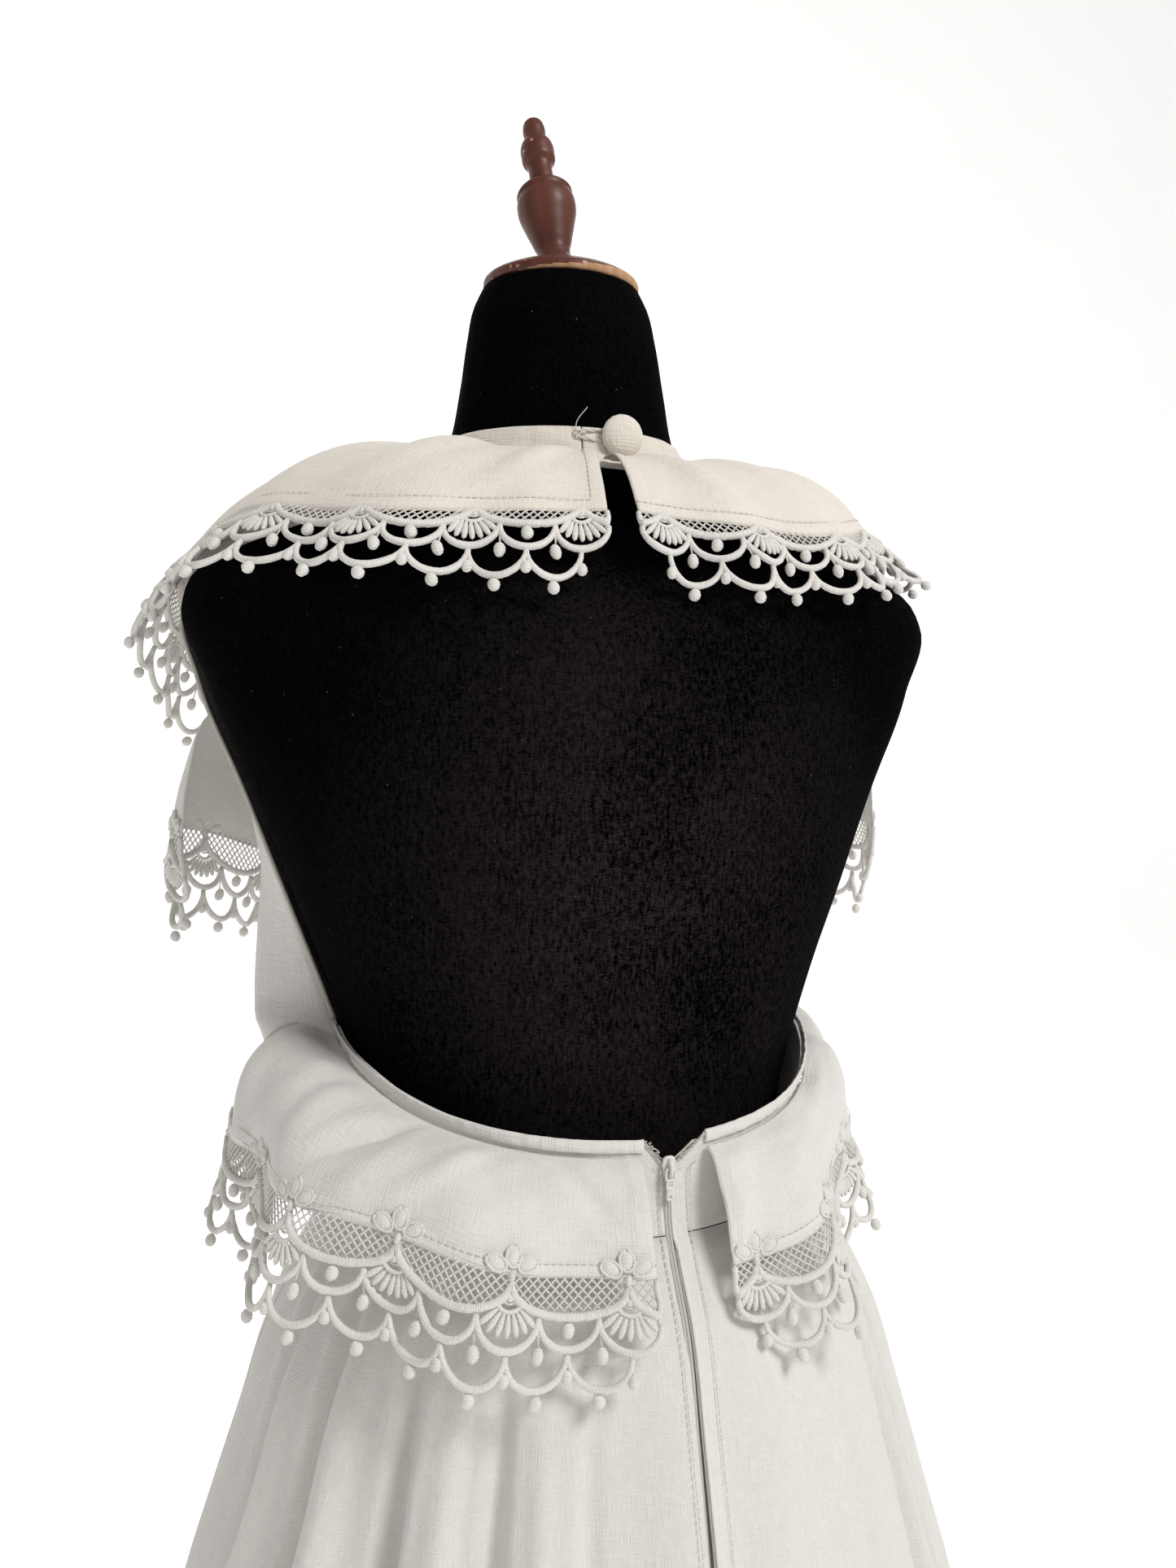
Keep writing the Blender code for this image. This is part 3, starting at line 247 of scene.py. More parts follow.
# Turned cap and finial and the covered button: radius and height of each ring
CAP_FOOT = (0.0, -0.057, 1.4523)
FINIAL_FOOT = (0.0032, -0.0572, 1.465)
FINIAL_LEAN, FINIAL_TOWARDS, FINIAL_BEND = 19.0, 167.0, 0.008
CAP_PROFILE = [
    (0.0385, 0.0), (0.0398, 0.001), (0.0403, 0.0028), (0.0399, 0.0046), (0.0382, 0.006), (0.034, 0.0082),
    (0.028, 0.0102), (0.02, 0.0119), (0.012, 0.0128),
]
FINIAL_PROFILE = [
    (0.0122, 0.0), (0.0118, 0.0026), (0.009, 0.0052), (0.0085, 0.0082), (0.0101, 0.0145),
    (0.0131, 0.0245), (0.0154, 0.034), (0.0152, 0.0388), (0.0142, 0.0418), (0.0147, 0.0432),
    (0.0131, 0.0458), (0.0096, 0.0482), (0.0067, 0.0502), (0.0064, 0.054), (0.0064, 0.06),
    (0.0068, 0.062), (0.0084, 0.0638), (0.0089, 0.068), (0.0088, 0.0722), (0.0078, 0.0752),
    (0.0062, 0.0768), (0.0059, 0.079), (0.0059, 0.0844), (0.0049, 0.088), (0.0022, 0.0901),
    (0.0003, 0.0905),
]
BUTTON_PROFILE = [
    (0.0026, 0.0), (0.0026, 0.0022), (0.0086, 0.0024), (0.0098, 0.0032), (0.0101, 0.0044),
    (0.0094, 0.006), (0.0074, 0.0074), (0.0045, 0.0083), (0.0012, 0.0086),
]
BUTTON_X, BUTTON_Z = -0.0105, 1.367
# Distances from the finial's foot at which its paint is rubbed
FINIAL_EDGES = (0.0432, 0.069, 0.0715)
# The pull tab's rings: middle, half width and half height, the hole's middle and halves, thickness
TAB_RINGS = [
    (-0.0023, 0.0025, 0.0029, -0.0023, 0.0015, 0.002, 0.001),
    (-0.007, 0.0019, 0.0023, -0.0063, 0.00075, 0.001, 0.0009),
    (-0.01115, 0.0016, 0.0023, -0.0118, 0.0006, 0.0006, 0.00096),
]


class DressSizes(bpy.types.PropertyGroup):
    """Sizes and colours that a maker would change."""

    cotton_colour: bpy.props.FloatVectorProperty(
        name="Cotton", description="Colour of the dress cloth", subtype="COLOR", size=3,
        default=(0.820, 0.802, 0.778), min=0.0, max=1.0)
    lace_colour: bpy.props.FloatVectorProperty(
        name="Lace", description="Colour of the lace cords", subtype="COLOR", size=3,
        default=(0.880, 0.860, 0.825), min=0.0, max=1.0)
    velvet_colour: bpy.props.FloatVectorProperty(
        name="Velvet", description="Colour of the form's pile", subtype="COLOR", size=3,
        default=(0.0022, 0.0021, 0.0026), min=0.0, max=1.0)
    cord_radius: bpy.props.FloatProperty(
        name="Heavy cord", description="Radius of the cord under the net", unit="LENGTH",
        default=0.00172, min=0.0005, max=0.003)
    thread_radius: bpy.props.FloatProperty(
        name="Net thread", description="Radius of the threads of the net", unit="LENGTH",
        default=0.00044, min=0.0001, max=0.001)
    net_step: bpy.props.FloatProperty(
        name="Net step", description="Distance between the net's threads along the edge", unit="LENGTH",
        default=0.0036, min=0.0015, max=0.006)
    stitch_length: bpy.props.FloatProperty(
        name="Stitch", description="Length of one stitch of the visible seams", unit="LENGTH",
        default=0.0022, min=0.001, max=0.005)


def sizes():
    """The add-on's sizes on the scene."""
    return bpy.context.scene.dress_sizes


def row(first, last, count):
    """Evenly spaced values across a grid."""
    return np.linspace(first, last, count)[None]


def column(first, last, count):
    """Evenly spaced values down a grid."""
    return np.linspace(first, last, count)[:, None]


def unit(vectors):
    """Vectors divided by their own lengths."""
    return vectors / np.maximum(np.linalg.norm(vectors, axis=-1), 1e-12)[..., None]


def running(points):
    """Running length from the first point of a line."""
    return np.concatenate([[0.0], np.cumsum(np.linalg.norm(np.diff(points, axis=0), axis=1))])


def smooth(x, knots, values):
    """A cubic through the knots, with each slope read from the neighbours on both sides."""
    slopes = np.gradient(values, knots)
    x = np.clip(x, knots[0], knots[-1])
    low = np.clip(np.searchsorted(knots, x) - 1, 0, len(knots) - 2)
    gap = knots[low + 1] - knots[low]
    s = (x - knots[low]) / gap
    start = (1 + 2 * s) * values[low] + s * gap * slopes[low]
    end = (3 - 2 * s) * values[low + 1] + (s - 1) * gap * slopes[low + 1]
    return start * (1 - s) ** 2 + end * s ** 2


def ring(table, angle, z, ease):
    """Superellipse |sin a / w|^p + |cos a / d|^p = r^-p at each angle and height, grown by the ease."""
    turn = np.radians(angle)
    row = {name: smooth(z, table[:, 0], column) for name, column in zip(RING_COLUMNS, table.T)}
    power = row["power"]
    deep = np.where(np.cos(turn) > 0, row["back"], row["front"]) + ease
    wide = row["half_width"] + ease
    radius = (np.abs(np.sin(turn) / wide) ** power + np.abs(np.cos(turn) / deep) ** power) ** (-1 / power)
    height = np.broadcast_to(z, radius.shape)
    return np.stack([radius * np.sin(turn), row["centre_y"] + radius * np.cos(turn), height], -1)


def outwards(angle):
    """Level unit vectors (sin a, cos a, 0)."""
    turn = np.radians(angle)
    return np.stack([np.sin(turn), np.cos(turn), 0 * turn], -1)


def pushed(points, angle, amount):
    """Points moved level outwards, each by its own amount."""
    return points + outwards(angle) * amount[..., None]


def hump(x):
    """Squared cosine: 1 at x = 0, and 0 from x = 1 on."""
    return np.cos(np.clip(x, -1, 1) * math.pi / 2) ** 2


def apart(angle, other):
    """Degrees between two angles, the short way round."""
    return np.abs((angle - other + 180.0) % 360.0 - 180.0)


def ripple(u, v, size, seed):
    """Soft unevenness: six plane waves of about one length, with directions and phases from the seed."""
    chance = np.random.default_rng(seed)
    total = np.zeros(np.broadcast(u, v).shape)
    for turn, start, stretch in zip(chance.uniform(0, math.pi, 6), chance.uniform(0, 6.28, 6),
                                    chance.uniform(0.7, 1.5, 6)):
        total += np.sin((u * math.cos(turn) + v * math.sin(turn)) * 6.28 / (size * stretch) + start)
    return total / 6.0


def creases(u, v, lines):
    """Ridges and grooves down a cloth: a squared-cosine hump across each line and a fade at both ends.

    A line runs from (u0, v0) to (u1, v1) with its own half width in u and its height.
    """
    total = np.zeros(np.broadcast(u, v).shape)
    for u0, v0, u1, v1, width, height in lines:
        along = (v - v0) / (v1 - v0)
        across = u - (u0 + (u1 - u0) * along)
        total += height * hump(across / width) * hump(2 * along - 1) ** 0.25
    return total


def bodice_point(angle, z, ease=EASE):
    """The form grown by the ease above the waist part, and the looser waist part below it."""
    upper = ring(FORM, angle, z, ease + np.interp(z, SHOULDER_Z, SHOULDER_EASE))
    lower = ring(GARMENT, angle, z, ease - EASE)
    return np.where((np.asarray(z) > GARMENT[-1, 0])[..., None], upper, lower)


def skirt_point(angle, z):
    """The skirt's ring plus rounded folds whose height grows towards the hem."""
    rise = np.zeros(np.broadcast(angle, z).shape)
    for centre, height, width in FOLDS:
        rise += height * hump(apart(angle, centre) / width)
    return pushed(ring(GARMENT, angle, z, 0.0), angle, rise * np.interp(z, FOLD_GROWTH_Z, FOLD_GROWTH))


def band_point(angle, z, more=0.0):
    """The form's neck plus the neckband's ease, which is larger at its lower edge."""
    return ring(FORM, angle, z, np.interp(z, (BAND_BOTTOM_Z, BAND_TOP_Z), (EASE, TOP_EASE)) + more)


def zip_angle(z, x):
    """The angle at which the back of the dress passes a distance x to the left of the middle."""
    back = smooth(z, GARMENT[:, 0], GARMENT[:, 2])
    return np.degrees(np.arctan2(x, back))


def opening_x(z, side):
    """The centre back edge: straight down the zip, and spreading into a V above the slider."""
    top = OPENING_LEFT_X if side > 0 else OPENING_RIGHT_X
    return np.interp(z, (SLIDER_Z - 0.001, SCOOP_Z[0]), (ZIP_X + side * SEAM, top))


def cloth_edge_x(z, side):
    """Where the cloth ends beside the zip: at the seam on the left, and a little back on the right."""
    below = np.clip((SLIDER_Z - 0.004 - z) / 0.012, 0, 1)
    return opening_x(z, side) - (RIGHT_GAP * below if side < 0 else 0.0 * z)


def flounce(name):
    """One flounce's surface: t is 0 at the seam, 1 at the cloth's edge and 2 at the lace's tip.

    The cloth is a quadratic curve from the seam, steered by the crest, to the edge; the lace leaves the
    edge along the same slope and turns towards its tip. Cosine waves push both outwards and grow with t.
    """
    table, axis_y, _, _, waves, height, _ = FLOUNCES[name]

    def place(angle, t):
        angle, t = np.broadcast_arrays(np.asarray(angle, float), np.asarray(t, float))
        turn = np.abs(angle)
        at = dict(zip(FLOUNCE_COLUMNS, (smooth(turn, table[:, 0], part) for part in table.T)))
        away = outwards(angle)

        def spot(part):
            level = np.stack([0 * turn, 0 * turn + axis_y, at[part + "_z"]], -1)
            return away * at[part + "_r"][..., None] + level

        if name.startswith("collar"):
            top = band_point(angle, at["top_z"], 2 * RUFFLE)
        else:
            more = WAIST_LIFT if name.startswith("waist") else 0.0
            top = bodice_point(angle, at["top_z"], EASE + more + SEAM + RUFFLE)
        crest, edge, tip = spot("crest"), spot("edge"), spot("tip")
        s = np.clip(t, 0.0, 1.0)[..., None]
        cloth = top * (1 - s) ** 2 + crest * 2 * s * (1 - s) + edge * s ** 2
        control = edge + unit(edge - crest) * 0.45 * np.linalg.norm(tip - edge, axis=-1)[..., None]
        w = np.clip(t - 1.0, 0.0, 1.1)[..., None]
        lace = edge * (1 - w) ** 2 + control * 2 * w * (1 - w) + tip * w ** 2
        before = np.minimum(t, 0.0)[..., None]
        point = np.where(t[..., None] > 1.0, lace, cloth) + before * (top - crest) * -2.0
        turned = np.radians(angle)
        uneven = 0.2 * np.sin(turned * 1.3 * waves) * (1 + np.cos(turned))
        wave = (np.cos(turned * 2 * waves) + uneven) * height * np.clip(t, 0.0, 2.0) ** 1.2
        return pushed(point, angle, wave)

    return place


def normals(place, a, b, step_a=0.02, step_b=0.004):
    """Unit normals by central differences, turned to point away from the pole's axis and upwards."""
    along = place(a + step_a, b) - place(a - step_a, b)
    down = place(a, b + step_b) - place(a, b - step_b)
    normal = unit(np.cross(along, down))
    away = unit((place(a, b) - MIDDLE) * LEVEL) + (0.0, 0.0, 0.5)
    return normal * np.where((normal * away).sum(-1) < 0, -1.0, 1.0)[..., None]


def join(parts):
    """Several (points, faces, corners) in one, with the later faces numbered on from the earlier ones."""
    count, points, faces, corners = 0, [], [], []
    for spots, blocks, pairs in parts:
        points.append(spots)
        faces += [block + count for block in blocks]
        corners += pairs
        count += len(spots)
    return np.concatenate(points), faces, corners


def put(name, parts, look, slot, replaces=(), body=DRESS):
    """A mesh from parts, each with its points, blocks of faces and blocks of UVs, a pair a corner."""
    points, faces, corners = join(parts)
    mesh = bpy.data.meshes.new(name)
    mesh.vertices.add(len(points))
    mesh.vertices.foreach_set("co", np.asarray(points, np.float32).ravel())
    flat = np.concatenate([block.ravel() for block in faces]).astype(np.int32)
    counts = np.concatenate([np.full(len(block), block.shape[1], np.int32) for block in faces])
    mesh.loops.add(len(flat))
    mesh.loops.foreach_set("vertex_index", flat)
    mesh.polygons.add(len(counts))
    mesh.polygons.foreach_set("loop_start", (np.cumsum(counts) - counts).astype(np.int32))
    mesh.polygons.foreach_set("use_smooth", np.ones(len(counts), bool))
    if corners:
        layer = mesh.uv_layers.new(name="cloth")
        layer.data.foreach_set("uv", np.concatenate([block.ravel() for block in corners]).astype(np.float32))
    mesh.update(calc_edges=True)
    mesh.validate()
    mesh.materials.append(LOOKS[look])
    made = bpy.data.objects.new(name, mesh)
    bpy.context.scene.collection.objects.link(made)
    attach(made, body)
    if replaces:
        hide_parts(*replaces)
    return made


def solid(name, parts, look, slot, replaces=(), body=DRESS):
    """A mesh of closed bits, with its normals recalculated so that every bit faces outwards."""
    made = put(name, parts, look, slot, replaces, body)
    work = bmesh.new()
    work.from_mesh(made.data)
    bmesh.ops.recalc_face_normals(work, faces=work.faces)
    work.to_mesh(made.data)
    work.free()
    return made


def oblong(q, wide, tall, power):
    """Superellipse x = wide |cos q|^(2/power), z = tall |sin q|^(2/power), each with its own sign."""
    bend = 2.0 / power
    return (wide * np.sign(np.cos(q)) * np.abs(np.cos(q)) ** bend,
            tall * np.sign(np.sin(q)) * np.abs(np.sin(q)) ** bend)


def quads(grid):
    """The four corners of each cell of a grid, in order round the cell."""
    return np.stack([grid[..., :-1, :-1], grid[..., :-1, 1:], grid[..., 1:, 1:], grid[..., 1:, :-1]], -1)


def grid_faces(rows, columns, closed=False):
    """Quads of a grid of points; a closed grid joins its last row and column to its first."""
    index = np.arange(rows * columns).reshape(rows, columns)
    if closed:
        index = np.pad(index, ((0, 1), (0, 1)), mode="wrap")
    return quads(index).reshape(-1, 4)


def area_of(points):
    """Area of a grid of points, from the cross products of its quads' diagonals."""
    first = points[1:, 1:] - points[:-1, :-1]
    second = points[1:, :-1] - points[:-1, 1:]
    return float(np.linalg.norm(np.cross(first, second), axis=-1).sum() / 2)


def cloth(part, points, look, wall=0.0009, slot="cotton", held=None, rests_on=(), with_pieces=()):
    """A thin wall on a grid of points, in place of the solid of that name if there is one.

    UVs are running lengths in metres, along the middle row for u and down the middle column for v.
    """
    rows, columns = points.shape[:2]
    u, v = running(points[rows // 2]), running(points[:, columns // 2])
    corners = np.stack(np.broadcast_arrays(u[None], v[:, None]), -1).reshape(-1, 2)
    faces = grid_faces(rows, columns)
    flat = points.reshape(-1, 3)
    a, b, c = (flat[faces[:, corner]] for corner in range(3))
    away = (a - MIDDLE) * LEVEL + (0.0, 0.0, 0.04)
    if (np.cross(b - a, c - b) * away).sum() < 0:
        faces = faces[:, ::-1]
    stands_for = (part,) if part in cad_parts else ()
    name = f"{part}_cloth" if stands_for else part
    made = put(name, [(flat, [faces], [corners[faces]])], look, slot, stands_for)
    thick = made.modifiers.new("wall", "SOLIDIFY")
    thick.thickness, thick.offset, thick.use_even_offset = wall, -1.0, False
    if held:
        longest = (np.linalg.norm(np.diff(points, axis=way), axis=-1).sum(way).max() for way in (1, 0))
        wide, tall = (float(length) for length in longest)
        min(area_of(points), wide * tall)
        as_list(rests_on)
        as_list(with_pieces)
    return made


def shell(rings):
    """Points, faces and UVs of tubes with closed ends; u runs round a tube and v along it in metres."""
    tubes, count, sides = rings.shape[:3]
    index = np.arange(tubes * count * sides).reshape(tubes, count, sides)
    around = np.concatenate([index, index[:, :, :1]], axis=2)
    steps = np.linalg.norm(np.diff(rings.mean(axis=2), axis=1), axis=-1)
    length = np.concatenate([np.zeros((tubes, 1)), np.cumsum(steps, 1)], 1)
    u, v = np.broadcast_arrays((np.arange(sides + 1) / sides)[None, None], length[:, :, None])
    uv = np.stack([u, v], -1)
    ends = np.concatenate([index[:, 0, ::-1], index[:, -1]])
    wall_uv, end_uv = np.stack([quads(u), quads(v)], -1), np.concatenate([uv[:, 0, :-1], uv[:, -1, :-1]])
    return rings.reshape(-1, 3), [quads(around).reshape(-1, 4), ends], [wall_uv.reshape(-1, 4, 2), end_uv]


def tube(paths, lift, radius, sides):
    """Round cords along one or more paths: across is lift x along, and up is along x across."""
    paths = paths.reshape(-1, *paths.shape[-2:])
    along = unit(np.gradient(paths, axis=1))
    across = unit(np.cross(lift, along))
    up = np.cross(along, across)
    turn = 2 * np.pi * np.arange(sides) / sides
    spoke = across[:, :, None] * np.cos(turn)[:, None] + up[:, :, None] * np.sin(turn)[:, None]
    return shell(paths[:, :, None] + spoke * np.broadcast_to(radius, paths.shape[:2])[:, :, None, None])


def beads_of(centre, along, across, out, taper, rows=6, sides=7):
    """Egg-shaped beads: centre + along cos p + (across cos q + out sin q) sin p (1 + taper cos p)."""
    p = np.linspace(0.06, math.pi - 0.06, rows)[None, :, None, None]
    q = (2 * np.pi * np.arange(sides) / sides)[None, None, :, None]
    centre, along, across, out = (part[:, None, None] for part in (centre, along, across, out))
    girth = np.sin(p) * (1 + taper * np.cos(p))
    return shell(centre + along * np.cos(p) + (across * np.cos(q) + out * np.sin(q)) * girth)


def swag(u):
    """Depth of the heavy cord: 3 mm at a peak and 15.8 mm midway, v = 3 + 12.8 sqrt(1 - (1 - x)^2)."""
    x = np.abs((u + HALF_REPEAT) % (2 * HALF_REPEAT) - HALF_REPEAT) / HALF_REPEAT
    return 3.0 + 12.8 * np.sqrt(np.clip(1 - (1 - x) ** 2, 0, 1))


def net_threads(low, high, top, lean, step):
    """Straight slanting threads from the net's top line to where each first meets the heavy cord."""
    first = np.arange(low - 16.0, high + 16.0, step)[:, None]
    v = row(top, 16.5, 64)
    u = first + lean * (v - top)
    inside = (u > low + 0.3) & (u < high - 0.3) & (v < swag(u) + 0.4)
    starts = inside.argmax(axis=1)
    after = np.where(np.arange(64)[None] >= starts[:, None], ~inside, False)
    stops = np.where(after.any(axis=1), after.argmax(axis=1), 64) - 1
    kept = inside.any(axis=1) & (stops - starts > 5)
    v0, v1 = v[0, starts[kept]][:, None], v[0, stops[kept]][:, None]
    depth = v0 + (v1 - v0) * row(0, 1, 6)
    return first[kept] + lean * (depth - top), depth


def lace_pattern(halves, cover, seed):
    """Flat cords and beads of one length of lace.

    u = 0 is the middle of the first fan; a strip of n half repeats runs from -11.5 to 23 n - 11.5. Returns
    cords (u, v, radius, height) and beads (u, v, long, wide, high, direction, taper) in millimetres.
    """
    chance = np.random.default_rng(seed)
    low, high = -HALF_REPEAT / 2, HALF_REPEAT * halves - HALF_REPEAT / 2
    middles, joints = HALF_REPEAT * np.arange(halves), HALF_REPEAT * (np.arange(halves - 1) + 0.5)
    fans, gaps = middles[::2], middles[1::2]
    heavy, thread = 1000.0 * sizes().cord_radius, 1000.0 * sizes().thread_radius
    step = 1000.0 * sizes().net_step
    cords, beads = [], []

    def cord(u, v, radius, height):
        cords.append((*np.broadcast_arrays(u, v, radius), height))

    def scallops(centres, top, deep, share, height):
        p = row(0, math.pi, 15)
        cord(centres[:, None] - HALF_REPEAT / 2 * np.cos(p), top + deep * np.sin(p),
             heavy * share * (0.70 + 0.30 * np.sin(p)), height)

    def bead(u, v, *shape, taper=0.0):
        beads.append((*(part.ravel() for part in np.broadcast_arrays(u, v, *shape)), taper))

    def near(spots):
        return spots + chance.uniform(-0.4, 0.4, len(spots))

    along = row(low, high, 18 * halves + 1)
    cord(along, np.maximum(swag(along), cover + 0.4), heavy * (1 + 0.06 * np.sin(along * 1.7)), 0.35)
    scallops(middles, 16.0, 12.3, 0.96, 0.2)
    scallops(joints, 29.8, 12.4, 0.92, 0.1)
    upright = row(max(cover, 0.0), 17.0, 12)
    for end in (low + 0.3, high - 0.3):
        cord(end + 0.35 * np.sin(upright * 0.5), upright, 0.72 * heavy, 0.1)
    for lean in (0.85, -0.85):
        cord(*net_threads(low, high, cover - 1.6, lean, step), thread, -0.25 + 0.2 * lean)
    if cover < 3:
        edge = row(low, high, 8 * halves + 1)
        cord(edge, -1.9 + 0.5 * np.cos(edge * math.pi / HALF_REPEAT), 0.42, 0.3)
    circle, sweep, drop = row(0, 2 * math.pi, 12), np.radians(row(-74, 74, 10)), row(0, 1, 4)
    spot = fans[:, None]
    cord(spot + 2.5 * np.sin(circle), 8.7 - 2.5 * np.cos(circle), 0.5, 0.4)
    cord(spot + 4.7 * np.sin(sweep), 9.4 + 4.7 * np.cos(sweep), 0.85, 0.5)
    sway = chance.uniform(-1.2, 1.2, (len(joints), 1))
    cord(joints[:, None] + sway * drop, 17.0 + 10.5 * drop, 0.42, 0.3)
    cord(middles[:, None], 29.0 + 7.0 * drop, 0.45, 0.1)
    cord(gaps[:, None], 15.8 + 3.0 * drop, 0.5, 0.2)
    bead(joints + sway[:, 0], 30.2, 3.4, 2.6, 2.3, chance.uniform(-12, 12, len(joints)))
    bead(near(gaps), 20.9, 3.1, 2.8, 2.4, 0.0)
    bead(near(joints), 46.2, 2.9, 2.8, 2.5, chance.uniform(-40, 40, len(joints)))
    bead(near(middles), 38.2, 2.8, 2.5, 2.3, 0.0)
    bead(fans, 8.7, 1.65, 1.65, 1.7, 0.0)
    lean = np.radians(np.arange(-3, 4) * 15.5)[None]
    bead(spot + 9.6 * np.sin(lean), 9.4 + 9.6 * np.cos(lean), 4.9, 1.32, 1.15, np.degrees(lean), taper=0.42)
    if cover < 3:
        for away, direction in ((6.9, -122.0), (6.3, 178.0), (7.3, 114.0)):
            sine, cosine = math.sin(math.radians(direction)), math.cos(math.radians(direction))
            bead(fans + away * sine, -1.0 + away * cosine, 4.4, 3.1, 1.7, direction, taper=0.15)
            long, wide = 4.3 * np.cos(circle), 3.0 * np.sin(circle)
            cord(spot + away * sine + long * sine + wide * cosine,
                 -1.0 + away * cosine + long * cosine - wide * sine, 0.62, 1.1)
        bead(fans, 0.4, 2.4, 1.5, 1.9, 0.0)
    return cords, beads


def make_lace(name):
    """Lays the flat pattern on a flounce: u goes along its cloth edge and v down towards its tip."""
    place = flounce(name)
    _, _, start, end, _, _, cover = FLOUNCES[name]
    angles = np.linspace(start, end, 400)
    lengths = running(place(angles, np.ones(400)))
    halves = round(lengths[-1] / (HALF_REPEAT * MM))
    scale = lengths[-1] / (HALF_REPEAT * halves)
    slope = (angles[-1] - angles[0]) / lengths[-1]

    def spread(u, v):
        along = (u + HALF_REPEAT / 2) * scale
        past = np.minimum(along, 0.0) + np.maximum(along - lengths[-1], 0.0)
        angle = np.interp(along, lengths, angles) + past * slope
        edge = place(angle, np.ones_like(angle))
        speed = np.linalg.norm(edge - place(angle, np.full_like(angle, 0.98)), axis=-1) / 0.02
        deep = v - cover + 1.1 * ripple(u, v, 40.0, 5) * np.clip(v / 30.0, 0, 1)
        return angle, np.where(deep > 0, 1 + deep / (LACE_DEPTH - cover), 1 + deep * MM / speed)

    def lay(u, v, height):
        angle, t = spread(u, v)
        lift = normals(place, angle, t, 0.05, 0.01)
        wavy = 2.2 * ripple(u, v, 34.0, len(name)) * np.clip((v - 4.0) / 30.0, 0, 1)
        return place(angle, t) + lift * ((height + wavy) * MM)[..., None], lift

    cords, beads = lace_pattern(halves, cover, len(name) * 7 + int(start))
    parts = []
    for u, v, radius, height in cords:
        path, lift = lay(u, v, height)
        sides = 4 if float(np.mean(radius)) < 0.6 else 7
        parts.append(tube(path, lift, radius * (1 + 0.12 * ripple(u, v, 4.5, 9)) * MM, sides))
    for u, v, long, wide, high, direction, taper in beads:
        centre, lift = lay(u, v, 0.4)
        across = unit(lay(u + 0.5, v, 0.4)[0] - centre)
        down = np.cross(across, lift)
        below = lay(u, v + 0.5, 0.4)[0] - centre
        down *= np.sign((down * below).sum(-1))[:, None]
        turn = np.radians(direction)[:, None]
        towards = down * np.cos(turn) + across * np.sin(turn)
        long, wide, high = (part[:, None] * MM for part in (long, wide, high))
        parts.append(beads_of(centre, towards * long, np.cross(lift, towards) * wide, lift * high, taper))
    solid(f"{name}_guipure", parts, "lace", "lace_cotton", (f"{name}_lace",))


def stitches(place, a, b, radius=0.00022):
    """Short humped threads along a line on a surface; each is three chords long and dips at both ends."""
    path = place(a, b)
    lift = normals(place, a, b)
    length = running(path)
    long = sizes().stitch_length
    pitch = long + STITCH_GAP
    along = (np.arange(int(length[-1] / pitch)) * pitch)[:, None] + long * row(0, 1, 4)
    spots, ups = (np.stack([np.interp(along, length, part) for part in line.T], -1) for line in (path, lift))
    height = np.array([-0.6, 0.55, 0.55, -0.6]) * radius + STITCH_LIFT
    return tube(spots + ups * height[None, :, None], ups, radius, 5)


def node(tree, kind, links=(), **settings):
    """A node with its settings; links are (input, source socket) or (input, plain value)."""
    made = tree.nodes.new(kind)
    for key, value in settings.items():
        setattr(made, key, value)
    for place, source in links:
        if isinstance(source, bpy.types.NodeSocket):
            tree.links.new(source, made.inputs[place])
        else:
            made.inputs[place].default_value = source
    return made


def group(name, **inputs):
    """A shader node group and its inputs; one with no value is a vector, the others are floats."""
    made = bpy.data.node_groups.new(name, "ShaderNodeTree")
    for label, value in inputs.items():
        kind = "NodeSocketVector" if value is None else "NodeSocketFloat"
        socket = made.interface.new_socket(name=label, in_out="INPUT", socket_type=kind)
        if value is not None:
            socket.default_value = value
    return made, made.nodes.new("NodeGroupInput").outputs


def give(tree, **values):
    """Gives the values out of a node group as floats."""
    for label in values:
        tree.interface.new_socket(name=label, in_out="OUTPUT", socket_type="NodeSocketFloat")
    node(tree, "NodeGroupOutput", values.items())
    return tree


def maths(tree, action, *values):
    """One Math node; its result."""
    return node(tree, "ShaderNodeMath", list(enumerate(values)), operation=action).outputs[0]


def total(tree, *terms):
    """A sum of values, each times its own weight."""
    result = 0.0
    for value, weight in terms:
        result = maths(tree, "MULTIPLY_ADD", value, weight, result)
    return result


def noise(tree, vector, scale, detail=2.0, stretch=None, roughness=0.5):
    """Noise at a scale, on coordinates that can be stretched first."""
    if stretch:
        vector = node(tree, "ShaderNodeMapping", [("Vector", vector), ("Scale", stretch)]).outputs[0]
    return node(tree, "ShaderNodeTexNoise", [("Vector", vector), ("Scale", scale), ("Detail", detail),
                                             ("Roughness", roughness)]).outputs[0]


def place_of(tree):
    """Object coordinates in metres."""
    return node(tree, "ShaderNodeTexCoord").outputs["Object"]


def weave_group():
    """Woven cloth in UV metres: noise drawn out along the warp plus noise drawn out along the weft."""
    made, start = group("woven threads", UV=None, Step=0.001)
    fine = maths(made, "DIVIDE", 1.0, start["Step"])
    warp = noise(made, start["UV"], fine, 2.0, (1.0, 0.07, 1.0))
    weft = noise(made, start["UV"], fine, 2.0, (0.07, 1.0, 1.0))
    height = total(made, (warp, 1.0), (weft, 1.0))
    slub = noise(made, start["UV"], 120.0, 4.0)
    return give(made, Height=height, Tone=total(made, (height, 0.5), (slub, 0.15)))


